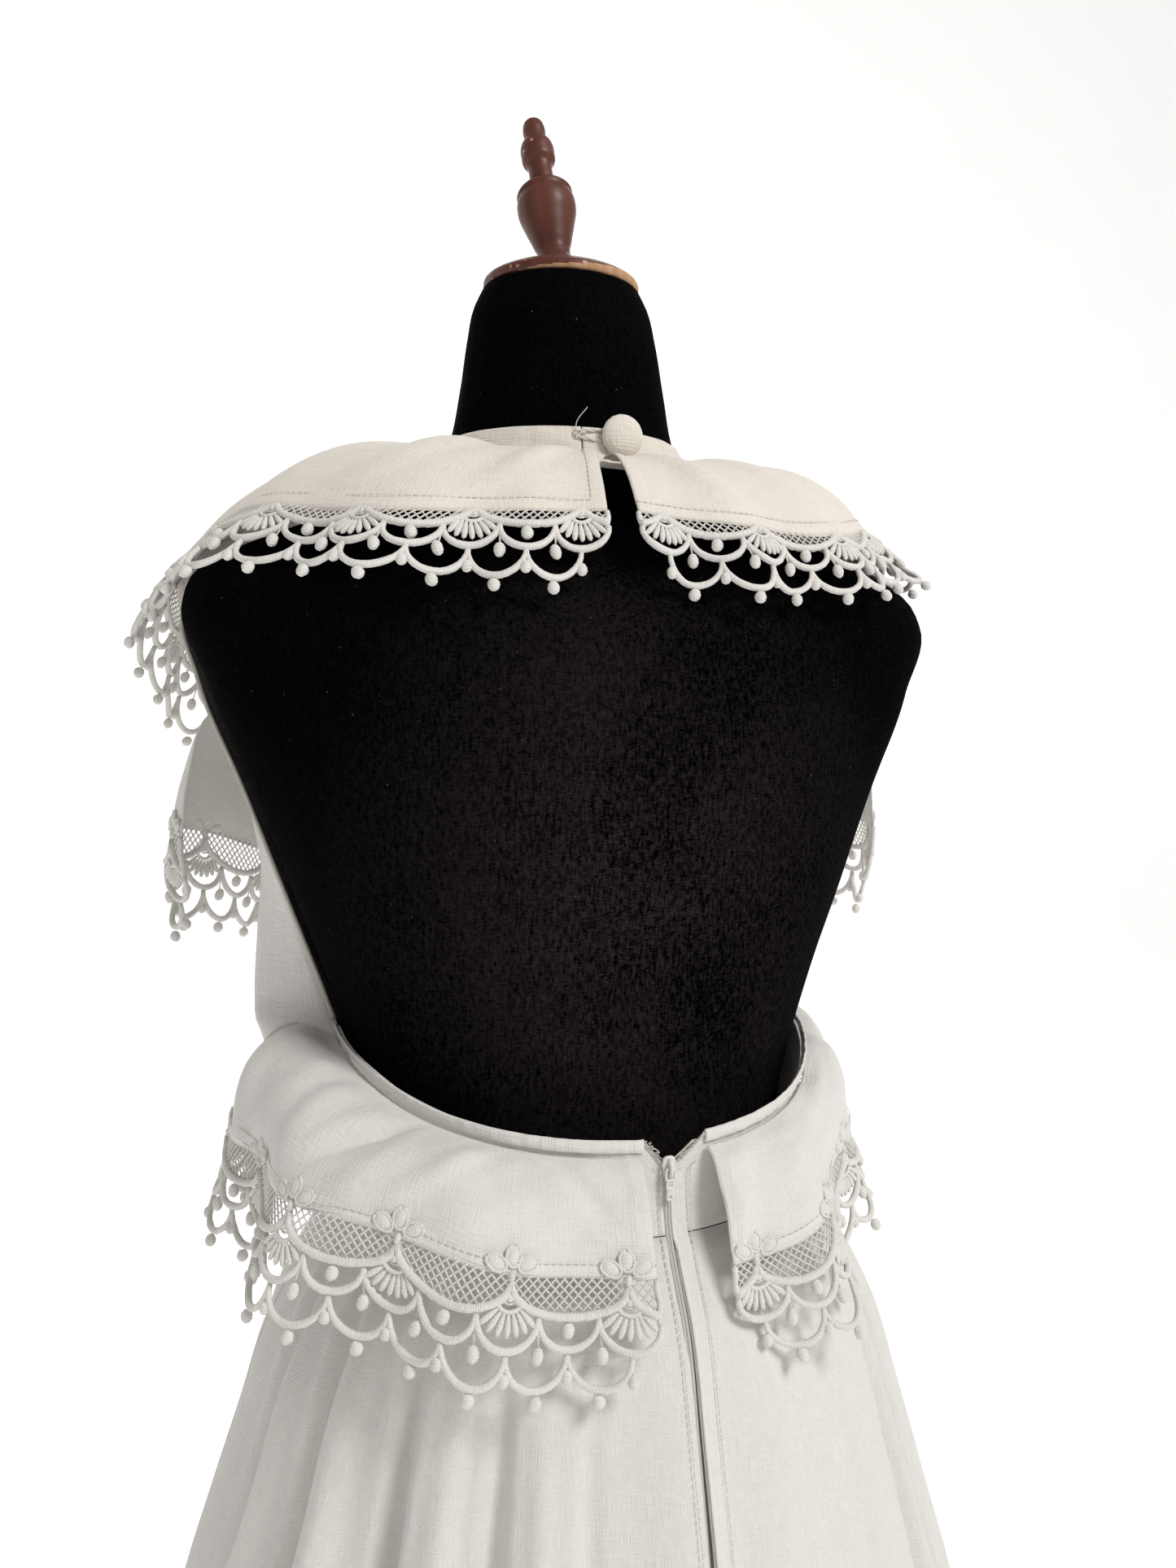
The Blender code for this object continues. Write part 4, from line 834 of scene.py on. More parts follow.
def wrap_group():
    """Satin stitch round a cord: fine ridges across it, sin(2 pi v / step + noise), v in metres along it."""
    made, start = group("satin wrap", UV=None, Step=0.0005)
    around, along, _ = node(made, "ShaderNodeSeparateXYZ", [(0, start["UV"])]).outputs
    spot = place_of(made)
    uneven = noise(made, spot, 900.0)
    pitch = maths(made, "DIVIDE", 2 * math.pi, start["Step"])
    ridge = maths(made, "SINE", total(made, (along, pitch), (around, 2.0), (uneven, 6.0)))
    blotch = noise(made, spot, 45.0, 3.0)
    return give(made, Height=total(made, (ridge, 1.0), (uneven, 2.0)),
                Tone=total(made, (ridge, 0.06), (blotch, 0.3)))


def pile_group():
    """Velvet: short upright flecks, level rows of pile, sparse lint and the mask of a painted highlight on
    the middle of the back.
    """
    made, start = group("velvet pile", Lint=0.80)
    spot = place_of(made)
    streak = noise(made, spot, 1.0, 4.0, (800.0, 800.0, 260.0))
    rows = noise(made, spot, 1.0, 2.0, (420.0, 420.0, 1500.0))
    cloud = noise(made, spot, 11.0, 3.0)
    # A soft sphere round the middle of the back: the mask of a painted highlight, where the pile is painted
    # lighter as if lit.
    middle = node(made, "ShaderNodeMapping", [("Vector", spot), ("Scale", (7.0, 5.0, 5.6)),
                                              ("Location", (0.0, -0.42, -6.50))])
    patch = node(made, "ShaderNodeTexGradient", [("Vector", middle.outputs[0])], gradient_type="SPHERICAL")
    return give(made, Tone=total(made, (rows, 0.6), (cloud, 0.5), (streak, 0.8)),
                Lint=maths(made, "GREATER_THAN", noise(made, spot, 650.0, 1.0), start["Lint"]),
                Height=noise(made, spot, 1600.0), Brushed=patch.outputs[1])


def wear_group():
    """Turned wood: grain drawn out along the height, and a worn mask from noise and a turned edge."""
    made, start = group("turned wood wear", Amount=0.5)
    spot = place_of(made)
    grain = noise(made, spot, 1.0, 6.0, (160.0, 160.0, 22.0))
    scuff = noise(made, spot, 190.0, 5.0, None, 0.65)
    edge = node(made, "ShaderNodeAttribute", attribute_name="edge").outputs["Fac"]
    limit = maths(made, "MULTIPLY_ADD", start["Amount"], -0.4, 0.92)
    worn = maths(made, "GREATER_THAN", total(made, (scuff, 1.0), (edge, 0.11)), limit)
    return give(made, Grain=grain, Worn=worn)


def shader(name, **finish):
    """A new material's tree, its Principled shader and itself; finish has _ for a socket name's space."""
    made = bpy.data.materials.new(name)
    made.use_nodes = True
    shade = made.node_tree.nodes["Principled BSDF"]
    for label, value in finish.items():
        shade.inputs[label.replace("_", " ")].default_value = value
    return made.node_tree, shade, made


def mixed(tree, factor, first, second):
    """A colour between two; each is a socket or a plain colour."""
    ends = [part if isinstance(part, bpy.types.NodeSocket) else (*part, 1.0) for part in (first, second)]
    made = node(tree, "ShaderNodeMix", data_type="RGBA")
    a, b = (socket for socket in made.inputs if socket.type == "RGBA")
    for socket, part in ((made.inputs[0], factor), (a, ends[0]), (b, ends[1])):
        if isinstance(part, bpy.types.NodeSocket):
            tree.links.new(part, socket)
        else:
            socket.default_value = part
    return next(socket for socket in made.outputs if socket.type == "RGBA")


def tinted(tree, tone, dark, light, low=0.0, high=1.0):
    """A colour between two, chosen by a tone that is spread over a range."""
    spread = node(tree, "ShaderNodeMapRange", [("Value", tone), ("From Min", low), ("From Max", high)])
    return mixed(tree, spread.outputs[0], dark, light)


def bump(tree, shade, height, strength, distance):
    """A Bump node from a height to the shader's normal."""
    made = node(tree, "ShaderNodeBump", [("Height", height), ("Strength", strength), ("Distance", distance)])
    tree.links.new(made.outputs[0], shade.inputs["Normal"])


def dimmed(colour, *factors):
    """A colour times one factor, or times a factor for each of its parts."""
    return tuple(part * factor for part, factor in zip(colour, factors * 3 if len(factors) == 1 else factors))


def thread_look(name, kind, colour, step, dark, spread, relief, **finish):
    """Cotton whose threads or cord wraps tint the colour and lift the surface."""
    tree, shade, made = shader(name, **finish)
    uv = node(tree, "ShaderNodeUVMap", uv_map="cloth").outputs[0]
    threads = node(tree, "ShaderNodeGroup", [("UV", uv), ("Step", step)], node_tree=GROUPS[kind])
    tint = tinted(tree, threads.outputs["Tone"], dimmed(colour, dark), colour, *spread)
    tree.links.new(tint, shade.inputs["Base Color"])
    bump(tree, shade, threads.outputs["Height"], *relief)
    return made


def cotton_look(name, colour, step=0.0007):
    """Matt woven cotton: crossing threads, a little slub and a faint unevenness of its white."""
    return thread_look(name, "weave", colour, step, 0.91, (0.40, 0.72), (0.6, 0.0008), Roughness=0.88,
                       Specular_IOR_Level=0.25, Sheen_Weight=0.12, Sheen_Roughness=0.6)


def lace_look(name, colour, step=0.00085):
    """Satin-stitched cotton cord with a soft lustre."""
    return thread_look(name, "wrap", colour, step, 0.92, (0.02, 0.24), (0.6, 0.00022), Roughness=0.68,
                       Specular_IOR_Level=0.35, Sheen_Weight=0.1)


def velvet_look(name, colour):
    """Deep black pile with upright streaks, a few specks of lint and a warm painted highlight on the middle
    of the back.
    """
    tree, shade, made = shader(name, Roughness=0.95, Specular_IOR_Level=0.01)
    pile = node(tree, "ShaderNodeGroup", node_tree=GROUPS["pile"])
    low = dimmed(colour, 0.3)
    flat = tinted(tree, pile.outputs["Tone"], low, dimmed(colour, 1.5), 0.75, 1.15)
    # The painted highlight's colour: the pile painted lighter and warmer, as if lit, on the middle of the
    # back.
    lit = tinted(tree, pile.outputs["Tone"], low, dimmed(colour, 13.44, 10.92, 9.24), 0.80, 1.14)
    with_painted_highlight = mixed(tree, pile.outputs["Brushed"], flat, lit)
    linted = mixed(tree, pile.outputs["Lint"], with_painted_highlight, (0.09, 0.085, 0.08))
    tree.links.new(linted, shade.inputs["Base Color"])
    bump(tree, shade, pile.outputs["Height"], 0.5, 0.0006)
    return made


def wood_look(name, dark, light, worn, amount, roughness, coat):
    """Turned wood under paint or stain; where the worn mask is on, the bare wood shows."""
    tree, shade, made = shader(name, Roughness=roughness, Specular_IOR_Level=0.3, Coat_Weight=coat,
                               Coat_Roughness=0.2)
    wear = node(tree, "ShaderNodeGroup", [("Amount", amount)], node_tree=GROUPS["wear"])
    base = tinted(tree, wear.outputs["Grain"], dark, light, 0.3, 0.7)
    if worn:
        base = mixed(tree, wear.outputs["Worn"], base, worn)
    tree.links.new(base, shade.inputs["Base Color"])
    bump(tree, shade, wear.outputs["Grain"], 0.15, 0.0003)
    return made


def plain_look(name, colour, roughness, grain=600.0):
    """Enamel or tape: one colour, very slightly uneven, with a fine bump."""
    tree, shade, made = shader(name, Roughness=roughness)
    uneven = noise(tree, place_of(tree), grain, 3.0)
    tree.links.new(tinted(tree, uneven, dimmed(colour, 0.88), colour, 0.3, 0.6), shade.inputs["Base Color"])
    bump(tree, shade, uneven, 0.12, 0.0002)
    return made


GROUPS = {}
LOOKS = {}


def make_looks():
    """The four node groups and the materials that use them."""
    GROUPS.update(weave=weave_group(), wrap=wrap_group(), pile=pile_group(), wear=wear_group())
    cotton, lace = tuple(sizes().cotton_colour), tuple(sizes().lace_colour)
    cream = dimmed(cotton, 1.0, 0.965, 0.90)
    LOOKS.update(
        cotton=cotton_look("woven cotton", cotton),
        facing=cotton_look("cream facing", cream, 0.0008),
        # The collar is the same cotton painted lighter and warmer: a painted highlight where the collar faces
        # up to the light.
        collar=cotton_look("collar cotton painted lighter", dimmed(cotton, 1.06, 1.02, 0.962)),
        lace=lace_look("guipure cord", lace),
        thread=lace_look("sewing thread", cream, 0.0008),
        velvet=velvet_look("black velvet", tuple(sizes().velvet_colour)),
        paint=wood_look("dark painted wood", (0.082, 0.022, 0.014), (0.130, 0.041, 0.028), (0.50, 0.27, 0.19),
                        0.50, 0.46, 0.08),
        bare=wood_look("bare turned wood", (0.36, 0.19, 0.10), (0.60, 0.36, 0.20), None, 0.3, 0.6, 0.0),
        stand=wood_look("stained stand", (0.13, 0.060, 0.030), (0.26, 0.135, 0.070), None, 0.3, 0.45, 0.2),
        tape=plain_look("zip tape", (0.80, 0.78, 0.73), 0.8, 2500.0),
        enamel=plain_look("white enamel", (0.80, 0.80, 0.78), 0.30),
        tooth=plain_look("nylon coil", (0.78, 0.77, 0.74), 0.45),
    )


def turned(profile, foot, count, sides, lean=0.0, towards=0.0):
    """A profile turned on an axis that bends over its foot: centre + r (flat cos q + across sin q)."""
    radius, height = np.array(profile).T
    knots = running(np.array(profile))
    along = np.linspace(0, knots[-1], count)
    r, h = smooth(along, knots, radius), smooth(along, knots, height)
    heading = outwards(np.array(towards))
    across = np.array([heading[1], -heading[0], 0.0])
    tilt = (np.radians(lean) * np.clip(h / FINIAL_BEND, 0, 1))[:, None]
    up = np.array([0.0, 0.0, 1.0])
    axis = heading * np.sin(tilt) + up * np.cos(tilt)
    flat = heading * np.cos(tilt) - up * np.sin(tilt)
    centre = np.array(foot) + np.cumsum(np.diff(h, prepend=0.0)[:, None] * axis, axis=0)
    turn = (2 * np.pi * np.arange(sides) / sides)[:, None]
    spoke = flat[:, None] * np.cos(turn) + across * np.sin(turn)
    return shell((centre[:, None] + spoke * r[:, None, None])[None])


class DRESS_OT_form(bpy.types.Operator):
    """The velvet torso, the painted cap with its bare rim, the finial and the stand"""

    bl_idname = "dress.form"
    bl_label = "Velvet form and stand"

    def execute(self, context):
        z = column(FORM[0, 0], FORM[-1, 0], 150)
        angle = np.arange(0.0, 360.0, 3.0)[None]
        points = pushed(ring(FORM, angle, z, 0.0), angle, 0.0004 * ripple(angle * 0.003, z, 0.05, 3))
        solid("velvet_torso", [shell(points[None])], "velvet", "velvet", ("form_torso",))
        part = turned(CAP_PROFILE, CAP_FOOT, 60, 96)
        cap = solid("painted_cap", [part], "paint", "turned_wood", ("neck_cap",))
        cap.data.materials.append(LOOKS["bare"])
        centre = np.zeros(len(cap.data.polygons) * 3)
        cap.data.polygons.foreach_get("center", centre)
        x, y, z = centre.reshape(-1, 3).T
        slant = CAP_FOOT[2] + 0.0032 - 0.085 * x + 0.0003 * ripple(x, y, 0.02, 4)
        cap.data.polygons.foreach_set("material_index", (z < slant).astype(np.int32))
        out = np.hypot(*(part[0] - np.array(CAP_FOOT))[:, :2].T)
        self.rub(cap, np.exp(-((out - CAP_PROFILE[2][0]) / 0.0016) ** 2))
        part = turned(FINIAL_PROFILE, FINIAL_FOOT, 140, 64, FINIAL_LEAN, FINIAL_TOWARDS)
        finial = solid("painted_finial", [part], "paint", "turned_wood", ("finial",))
        above = np.linalg.norm(part[0] - np.array(FINIAL_FOOT), axis=1)
        self.rub(finial, sum(np.exp(-((above - height) / 0.0011) ** 2) for height in FINIAL_EDGES))
        for name in ("stand_pole", "stand_hub", "stand_leg_1", "stand_leg_2", "stand_leg_3"):
            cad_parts[name].data.materials.clear()
            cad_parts[name].data.materials.append(LOOKS["stand"])
        return {"FINISHED"}

    def rub(self, made, amount):
        """Stores where handling wears the paint, as the attribute that the wood's worn mask reads."""
        edge = made.data.attributes.new("edge", "FLOAT", "POINT")
        edge.data.foreach_set("value", amount.astype(np.float32))


class DRESS_OT_bodice(bpy.types.Operator):
    """The front bodice, the two low back parts and the binding round the open back"""

    bl_idname = "dress.bodice"
    bl_label = "Bodice and bindings"

    def execute(self, context):
        z = WAIST_Z + SEAM + (BAND_BOTTOM_Z - SEAM - WAIST_Z - SEAM) * (1 - column(0, 1, 80))
        edge = np.interp(z, SIDE_Z, SIDE_EDGE) + 0.08
        angle = edge + (360.0 - 2 * edge) * row(0, 1, 150)
        drape = creases(angle, z, BODICE_LINES)
        soft = 0.0005 * ripple(angle * 0.0025, z, 0.06, 11)
        from_edge = np.minimum(angle, 360.0 - angle) - edge
        near_edge = np.clip(from_edge / 9.0, 0, 1) ** 0.9 * hump(np.clip((from_edge - 14) / 46, 0, 1))
        loose = np.interp(z, BLOUSE_Z, BLOUSE) * np.where(angle < 180, 1.0, 0.4) * near_edge
        points = pushed(bodice_point(angle, z + 0 * angle), angle, drape + soft + 0.0004 + loose)
        cloth("bodice_front", points, "cotton", held="stretched", rests_on=("velvet_torso",))
        rolls = []
        for side in (1, -1):
            height = np.linspace(1.088, BAND_BOTTOM_Z - 0.004, 120)
            near = side * (np.interp(height, SIDE_Z, SIDE_EDGE) + 0.35)
            rolls.append(tube(bodice_point(near, height, EASE + 0.0002), outwards(near), 0.0011, 8))
        solid("armhole_rolls", rolls, "facing", "cotton")
        for side, name in SIDES:
            u = row(0, 1, 120)
            top = np.interp(90.0 * u, SCOOP_ANGLE, SCOOP_Z) - SEAM
            z = top + (WAIST_Z + SEAM - top) * column(0, 1, 40)
            near = zip_angle(z, cloth_edge_x(z, side) * side)
            angle = side * (near + (89.92 - near) * u)
            points = pushed(bodice_point(angle, z), angle, 0.0003 * ripple(angle * 0.0025, z, 0.03, 5))
            cloth(f"bodice_back_{name}", points, "cotton", held="stretched", rests_on=("velvet_torso",),
                  with_pieces=(self.binding(side, name), f"zip_tape_{name}_cloth"))
        return {"FINISHED"}

    def binding(self, side, name):
        """A rounded strip over the scooped edge, with a crease where it is folded."""
        start = float(zip_angle(SCOOP_Z[0], opening_x(SCOOP_Z[0], side) * side))
        t = column(0, 1, 14)
        angle = start + (93.0 - start) * row(0, 1, 200)
        z = smooth(angle + 0 * t, SCOOP_ANGLE, SCOOP_Z) + 0.0006 - 0.0056 * t
        bulge = 0.0009 * np.sin(math.pi * t) ** 0.5 + 0.0004 * ripple(angle * 0.0025, z, 0.008, 8)
        points = pushed(bodice_point(side * angle, z, EASE + SEAM + 0.0006), side * angle, bulge)
        return cloth(f"opening_binding_{name}", points, "cotton", 0.0012)


class DRESS_OT_neckband(bpy.types.Operator):
    """The neckband with its pressed seam, the covered button, the cord loop and a loose thread"""

    bl_idname = "dress.neckband"
    bl_label = "Neckband, button and loop"

    def execute(self, context):
        angle, t = row(8.0, 367.4, 300), column(0, 1, 22)
        z = BAND_TOP_Z + (BAND_BOTTOM_Z - BAND_TOP_Z) * t
        uneven = 0.0004 * ripple(angle * 0.001, z, 0.012, 21)
        swell = 0.0007 * np.sin(math.pi * np.clip(t / 0.62, 0, 1)) + uneven
        ridge = 0.0008 * np.exp(-((t - 0.72) / 0.05) ** 2)
        points = pushed(band_point(angle, z), angle, swell + ridge)
        cloth("neckband", points, "facing", 0.0012, held="stretched", rests_on=("velvet_torso",))
        self.button()
        self.loop()
        return {"FINISHED"}

    def face(self, x, z):
        """Depth of the neckband behind a spot x from the middle."""
        depth = np.interp(z, FORM[:, 0], FORM[:, 3])
        return band_point(np.degrees(np.arctan2(x, depth)), z)[..., 1]

    def button(self):
        """A dome of circles, centre + r (cos q, 0, -sin q) + depth, with small gathers at its rim."""
        front = float(self.face(np.array(BUTTON_X), np.array(BUTTON_Z - 0.0026))) + SEAM
        knots = np.arange(len(BUTTON_PROFILE)) * 1.0
        along = column(0, knots[-1], 50)
        radius, depth = (np.interp(along, knots, part) for part in np.array(BUTTON_PROFILE).T)
        turn = np.radians(np.arange(0, 360, 5.0))[None]
        gathered = radius * (1 + 0.018 * np.sin(turn * 17) * np.exp(-((depth - 0.003) / 0.0014) ** 2))
        rings = np.stack([BUTTON_X + gathered * np.cos(turn), front + depth + 0 * turn,
                          BUTTON_Z - gathered * np.sin(turn)], -1)[None]
        spots, faces, _ = shell(rings)
        corners = [spots[block][..., [0, 2]] for block in faces]
        solid("covered_button", [(spots, faces, corners)], "facing", "cotton", ("button",))

    def on_band(self, x, z, above, highest=2.0):
        """A line of points that lie above the neckband's face."""
        return np.stack([x, self.face(x, np.minimum(z, highest)) + above, z], -1)

    def loop(self):
        """The loop is two cords twisted together, radius 0.5 mm, round the shank; the thread curls up."""
        turn, reach = np.radians(np.linspace(90, 270, 24)), 0.0036
        bend = np.stack([BUTTON_X + reach * np.cos(turn), reach * np.sin(turn)], -1)
        run, ends = column(0, 1, 30), np.array([[0.0118, 0.0014], [0.0118, -0.0014]])
        upper = (1 - run) * ends[0] + run * bend[0]
        lower = (1 - run) * bend[-1] + run * ends[1]
        x, z = np.concatenate([upper[:-1], bend, lower[1:]]).T
        path = self.on_band(x, BUTTON_Z + z, 0.0013)
        lift = np.array([0.0, 1.0, 0.0])
        across = np.cross(lift, unit(np.gradient(path, axis=0)))
        phase = (np.arange(len(path)) * 0.55)[:, None]
        strands = [path + 0.0004 * (np.cos(phase + shift) * across + np.sin(phase + shift) * lift)
                   for shift in (0.0, math.pi)]
        s, knot = np.linspace(0, 1, 26), np.linspace(0, 1, 60)
        curl = self.on_band(0.0105 + 0.0016 * np.sin(4 * s) - 0.003 * s, BUTTON_Z + 0.001 + 0.0115 * s,
                            0.0012 + 0.002 * s, BAND_TOP_Z)
        tangle = self.on_band(0.0095 + 0.0030 * np.sin(knot * 19), BUTTON_Z + 0.0010 * np.cos(knot * 31),
                              0.0011 + 0.0004 * np.sin(knot * 43))
        parts = [tube(np.stack(strands), lift, 0.00048, 7), tube(curl, (0.0, 1.0, 0.2), 0.00022, 5),
                 tube(tangle, lift, 0.00032, 5)]
        solid("cord_loop", parts, "thread", "cotton", ("button_loop",))


class DRESS_OT_flounces(bpy.types.Operator):
    """The cloth of the cape collar, the mid flounces and the waist flounces"""

    bl_idname = "dress.flounces"
    bl_label = "Collar and flounces"

    def execute(self, context):
        for name, (_, _, start, end, *_) in FLOUNCES.items():
            collar = "collar" in name
            place = flounce(name)
            angle, t = np.meshgrid(np.linspace(start, end, 200 if collar else 120), np.linspace(0, 1, 40))
            fade = np.clip(t * 4, 0, 1) * np.clip((1 - t) * 6, 0, 1) ** 0.5
            rise = (1.35 if collar else 1.0) * creases(angle, t, CREASES.get(name, [])) * fade
            uneven = ripple(angle * (0.0018 if collar else 0.0025), t * 0.05, 0.022, len(name))
            rise = rise + 0.0007 * uneven * np.clip(t * 5, 0, 1)
            hem = 0.00045 * np.clip((t - 0.93) / 0.01, 0, 1) * np.clip((1.0 - t) / 0.01 + 0.3, 0, 1)
            end_hem = 0.0005 * np.clip((3.6 - np.abs(angle - start)) / 0.4, 0, 1) * ("back" in name or collar)
            points = place(angle, t) + normals(place, angle, t) * (rise + hem + end_hem)[..., None]
            # The collar's cloth takes the cotton painted lighter, a painted highlight; the other flounces
            # take the plain cotton.
            cloth(name, points, "collar" if collar else "cotton", 0.0008, held="gathered",
                  rests_on=("neckband_cloth" if collar else "bodice_front_cloth",),
                  with_pieces=(f"{name}_guipure",))
        return {"FINISHED"}


class DRESS_OT_lace(bpy.types.Operator):
    """The guipure lace on the edges of the collar and of every flounce"""

    bl_idname = "dress.lace"
    bl_label = "Lace edgings"

    def execute(self, context):
        for name in FLOUNCES:
            make_lace(name)
        return {"FINISHED"}


def skirt_surface(angle, z):
    """The skirt with its folds, finer gathers under the waist and the listed creases."""
    turn, down = np.radians(angle), WAIST_Z - z
    gather = 0.0010 * np.sin(turn * 46 + 2 * np.sin(turn * 5)) * np.exp(-down / 0.05)
    gather = gather * np.clip(down / 0.006, 0, 1) * np.clip((apart(angle, 0.0) - 14) / 12, 0, 1)
    soft = 0.0007 * ripple(angle * 0.003, z, 0.09, 17)
    hem = 0.0006 * np.clip((HEM_Z + 0.03 - z) / 0.001, 0, 1)
    return pushed(skirt_point(angle, z), angle, gather + creases(angle, z, SKIRT_LINES) + soft + hem)


class DRESS_OT_skirt(bpy.types.Operator):
    """The front panel and the two back panels of the skirt"""

    bl_idname = "dress.skirt"
    bl_label = "Skirt"

    def execute(self, context):
        z = WAIST_Z + (HEM_Z - WAIST_Z) * column(0, 1, 90)
        panels = {
            "skirt_front": (90.08 + 0 * z, 269.92, 220),
            "skirt_back_left": (zip_angle(z, opening_x(z, 1)), 89.92, 190),
            "skirt_back_right": (360 + zip_angle(z, cloth_edge_x(z, -1)), 270.08, 190),
        }
        for name, (near, far, count) in panels.items():
            angle = near + (far - near) * row(0, 1, count)
            cloth(name, skirt_surface(angle, z + 0 * angle), "cotton", held="hung",
                  rests_on=("bodice_front_cloth", "bodice_back_left_cloth"),
                  with_pieces=("zip_placket",) if name == "skirt_back_right" else ())
        return {"FINISHED"}


def on_back(z, x, ease):
    """A point of the back of the dress at a height and a distance from the middle."""
    return ring(GARMENT, zip_angle(z, x), z, ease)


class DRESS_OT_zip(bpy.types.Operator):
    """The zip's tapes, coil, slider and pull tab, and the pressed placket beside them"""

    bl_idname = "dress.zip"
    bl_label = "Zip and placket"

    def execute(self, context):
        parts = []
        top, pitch = SCOOP_Z[0] - 0.003, 0.00125
        for side, name in SIDES:
            z = column(top, ZIP_BOTTOM_Z, 120)
            x = opening_x(z, side) - side * 0.0001 + side * row(0.0, 0.009, 8)
            cloth(f"zip_tape_{name}", on_back(z, x, -0.0022), "tape", 0.0007, "zip_tape")
            height = np.arange(top - 0.001, ZIP_BOTTOM_Z + 0.002, -pitch)[:, None]
            wave = row(0, 2 * math.pi, 9)
            spread = np.where(height > SLIDER_Z, 1.0, 0.75)
            x = opening_x(height, side) + side * 0.0006 + side * 0.0009 * np.cos(wave) * spread
            level = height - pitch * wave / (2 * math.pi) + side * 0.0003
            path = pushed(on_back(level, x, 0.0), 0 * level, -0.0004 + 0.0009 * np.sin(wave))
            parts.append(tube(path, (0.0, 0.0, 1.0), 0.00028, 5))
        solid("zip_coil", parts, "tooth", "zip_tape")
        self.slider()
        self.tab()
        self.placket()
        self.edges()
        return {"FINISHED"}

    def slider(self):
        """A plate, wider at its top, and an arch z = 3.4 cos p, y = 3 sin p (mm) over the tab's bar."""
        q = np.linspace(0, 2 * math.pi, 48, endpoint=False)[None]
        scale = np.array([0.90, 1.0, 1.0, 0.93, 0.80])[:, None]
        depth = np.array([0.0, 0.00025, 0.0009, 0.00125, PLATE_THICK])[:, None]
        x, z = oblong(q, 0.0032, 0.0050, 3.0)
        x = x * (0.86 + 0.14 * np.tanh((z + 0.001) / 0.002))
        plate = np.stack(np.broadcast_arrays(ZIP_X + x * scale, PLATE_FRONT_Y - PLATE_THICK + depth,
                                             SLIDER_Z + z * scale), -1)
        p = np.linspace(0, math.pi, 24)
        arch = np.stack([ZIP_X + 0 * p, PLATE_FRONT_Y - 0.0003 + 0.0030 * np.sin(p),
                         SLIDER_Z + 0.0034 * np.cos(p)], -1)
        parts = [shell(plate[None]), tube(arch, (1.0, 0.0, 0.0), 0.00085, 12)]
        solid("zip_slider_body", parts, "enamel", "enamel", ("zip_slider",))

    def tab(self):
        """Three flat rings in a row: the eye round the bridge, the neck with its window and the holed tip."""
        parts = []
        q = np.linspace(0, 2 * math.pi, 40, endpoint=False)[:, None]
        share = np.array([0.0, 0.1, 0.9, 1.0, 1.0, 0.9, 0.1, 0.0])[None]
        deep = np.array([-0.3, -0.5, -0.5, -0.3, 0.3, 0.5, 0.5, 0.3])[None]
        for middle, wide, tall, hole, hole_wide, hole_tall, thick in TAB_RINGS:
            outer, inner = oblong(q, wide, tall, 4.5), oblong(q, hole_wide, hole_tall, 5.0)
            x = inner[0] + (outer[0] - inner[0]) * share
            z = inner[1] + hole + (outer[1] + middle - inner[1] - hole) * share
            points = np.stack([ZIP_X + x, PULL_AXIS_Y + deep * thick + 0 * q, SLIDER_Z + z], -1)
            parts.append((points.reshape(-1, 3), [grid_faces(40, 8, True)], []))
        solid("zip_pull_plate", parts, "enamel", "enamel", ("zip_pull_tab",), "pull_tab")

    def placket(self):
        """A pressed strip, 7 mm wide, on the wearer's right of the zip, with a step at its outer side."""
        z, across = column(1.046, HEM_Z + 0.002, 180), row(0, 1, 12)
        notch = np.clip((WAIST_Z - 0.001 - z) / 0.0015, 0, 1)
        x = cloth_edge_x(z, -1) + 0.0006 - 0.0012 * notch - (0.0072 + 0.0005 * np.sin(z * 31)) * across
        angle, z = zip_angle(z, x), z + 0 * across
        points = np.where((z > WAIST_Z)[..., None], bodice_point(angle, z), skirt_surface(angle + 360.0, z))
        rise = 0.0007 + 0.0006 * np.exp(-(across / 0.12) ** 2) - 0.0004 * np.clip((across - 0.9) / 0.1, 0, 1)
        cloth("zip_placket", pushed(points, angle, rise + 0 * z), "cotton", 0.0007)

    def edges(self):
        """Rolled edges of the V above the slider and of the seam that the zip closes."""
        parts = []
        for side, _ in SIDES:
            z = np.linspace(SCOOP_Z[0] + 0.0005, 0.86, 160)
            path = on_back(z, opening_x(z, side) + side * 0.0004, 0.0002)
            parts += [tube(path, outwards(0 * z), 0.00075, 7), self.frays(side)]
        solid("zip_edge_rolls", parts, "facing", "cotton")

    def frays(self, side):
        """Loose threads along one edge of the V: short curls that start at the edge and hook over it."""
        chance = np.random.default_rng(31 + side)
        z = chance.uniform(SLIDER_Z + 0.003, SCOOP_Z[0], 12)[:, None]
        s = row(0, 1, 12)
        reach, hook, turn = (chance.uniform(low, high, (12, 1)) for low, high in
                             ((0.0008, 0.0030), (-0.0014, 0.0014), (2.0, 6.0)))
        x = opening_x(z, side) - side * reach * s + hook * np.sin(turn * s)
        level = z + reach * np.sin(turn * s) * 0.5
        path = pushed(on_back(level, x, 0.0008), 0 * level, 0.0006 * np.sin(3 * s))
        return tube(path, (0.0, 1.0, 0.3), 0.00018, 5)


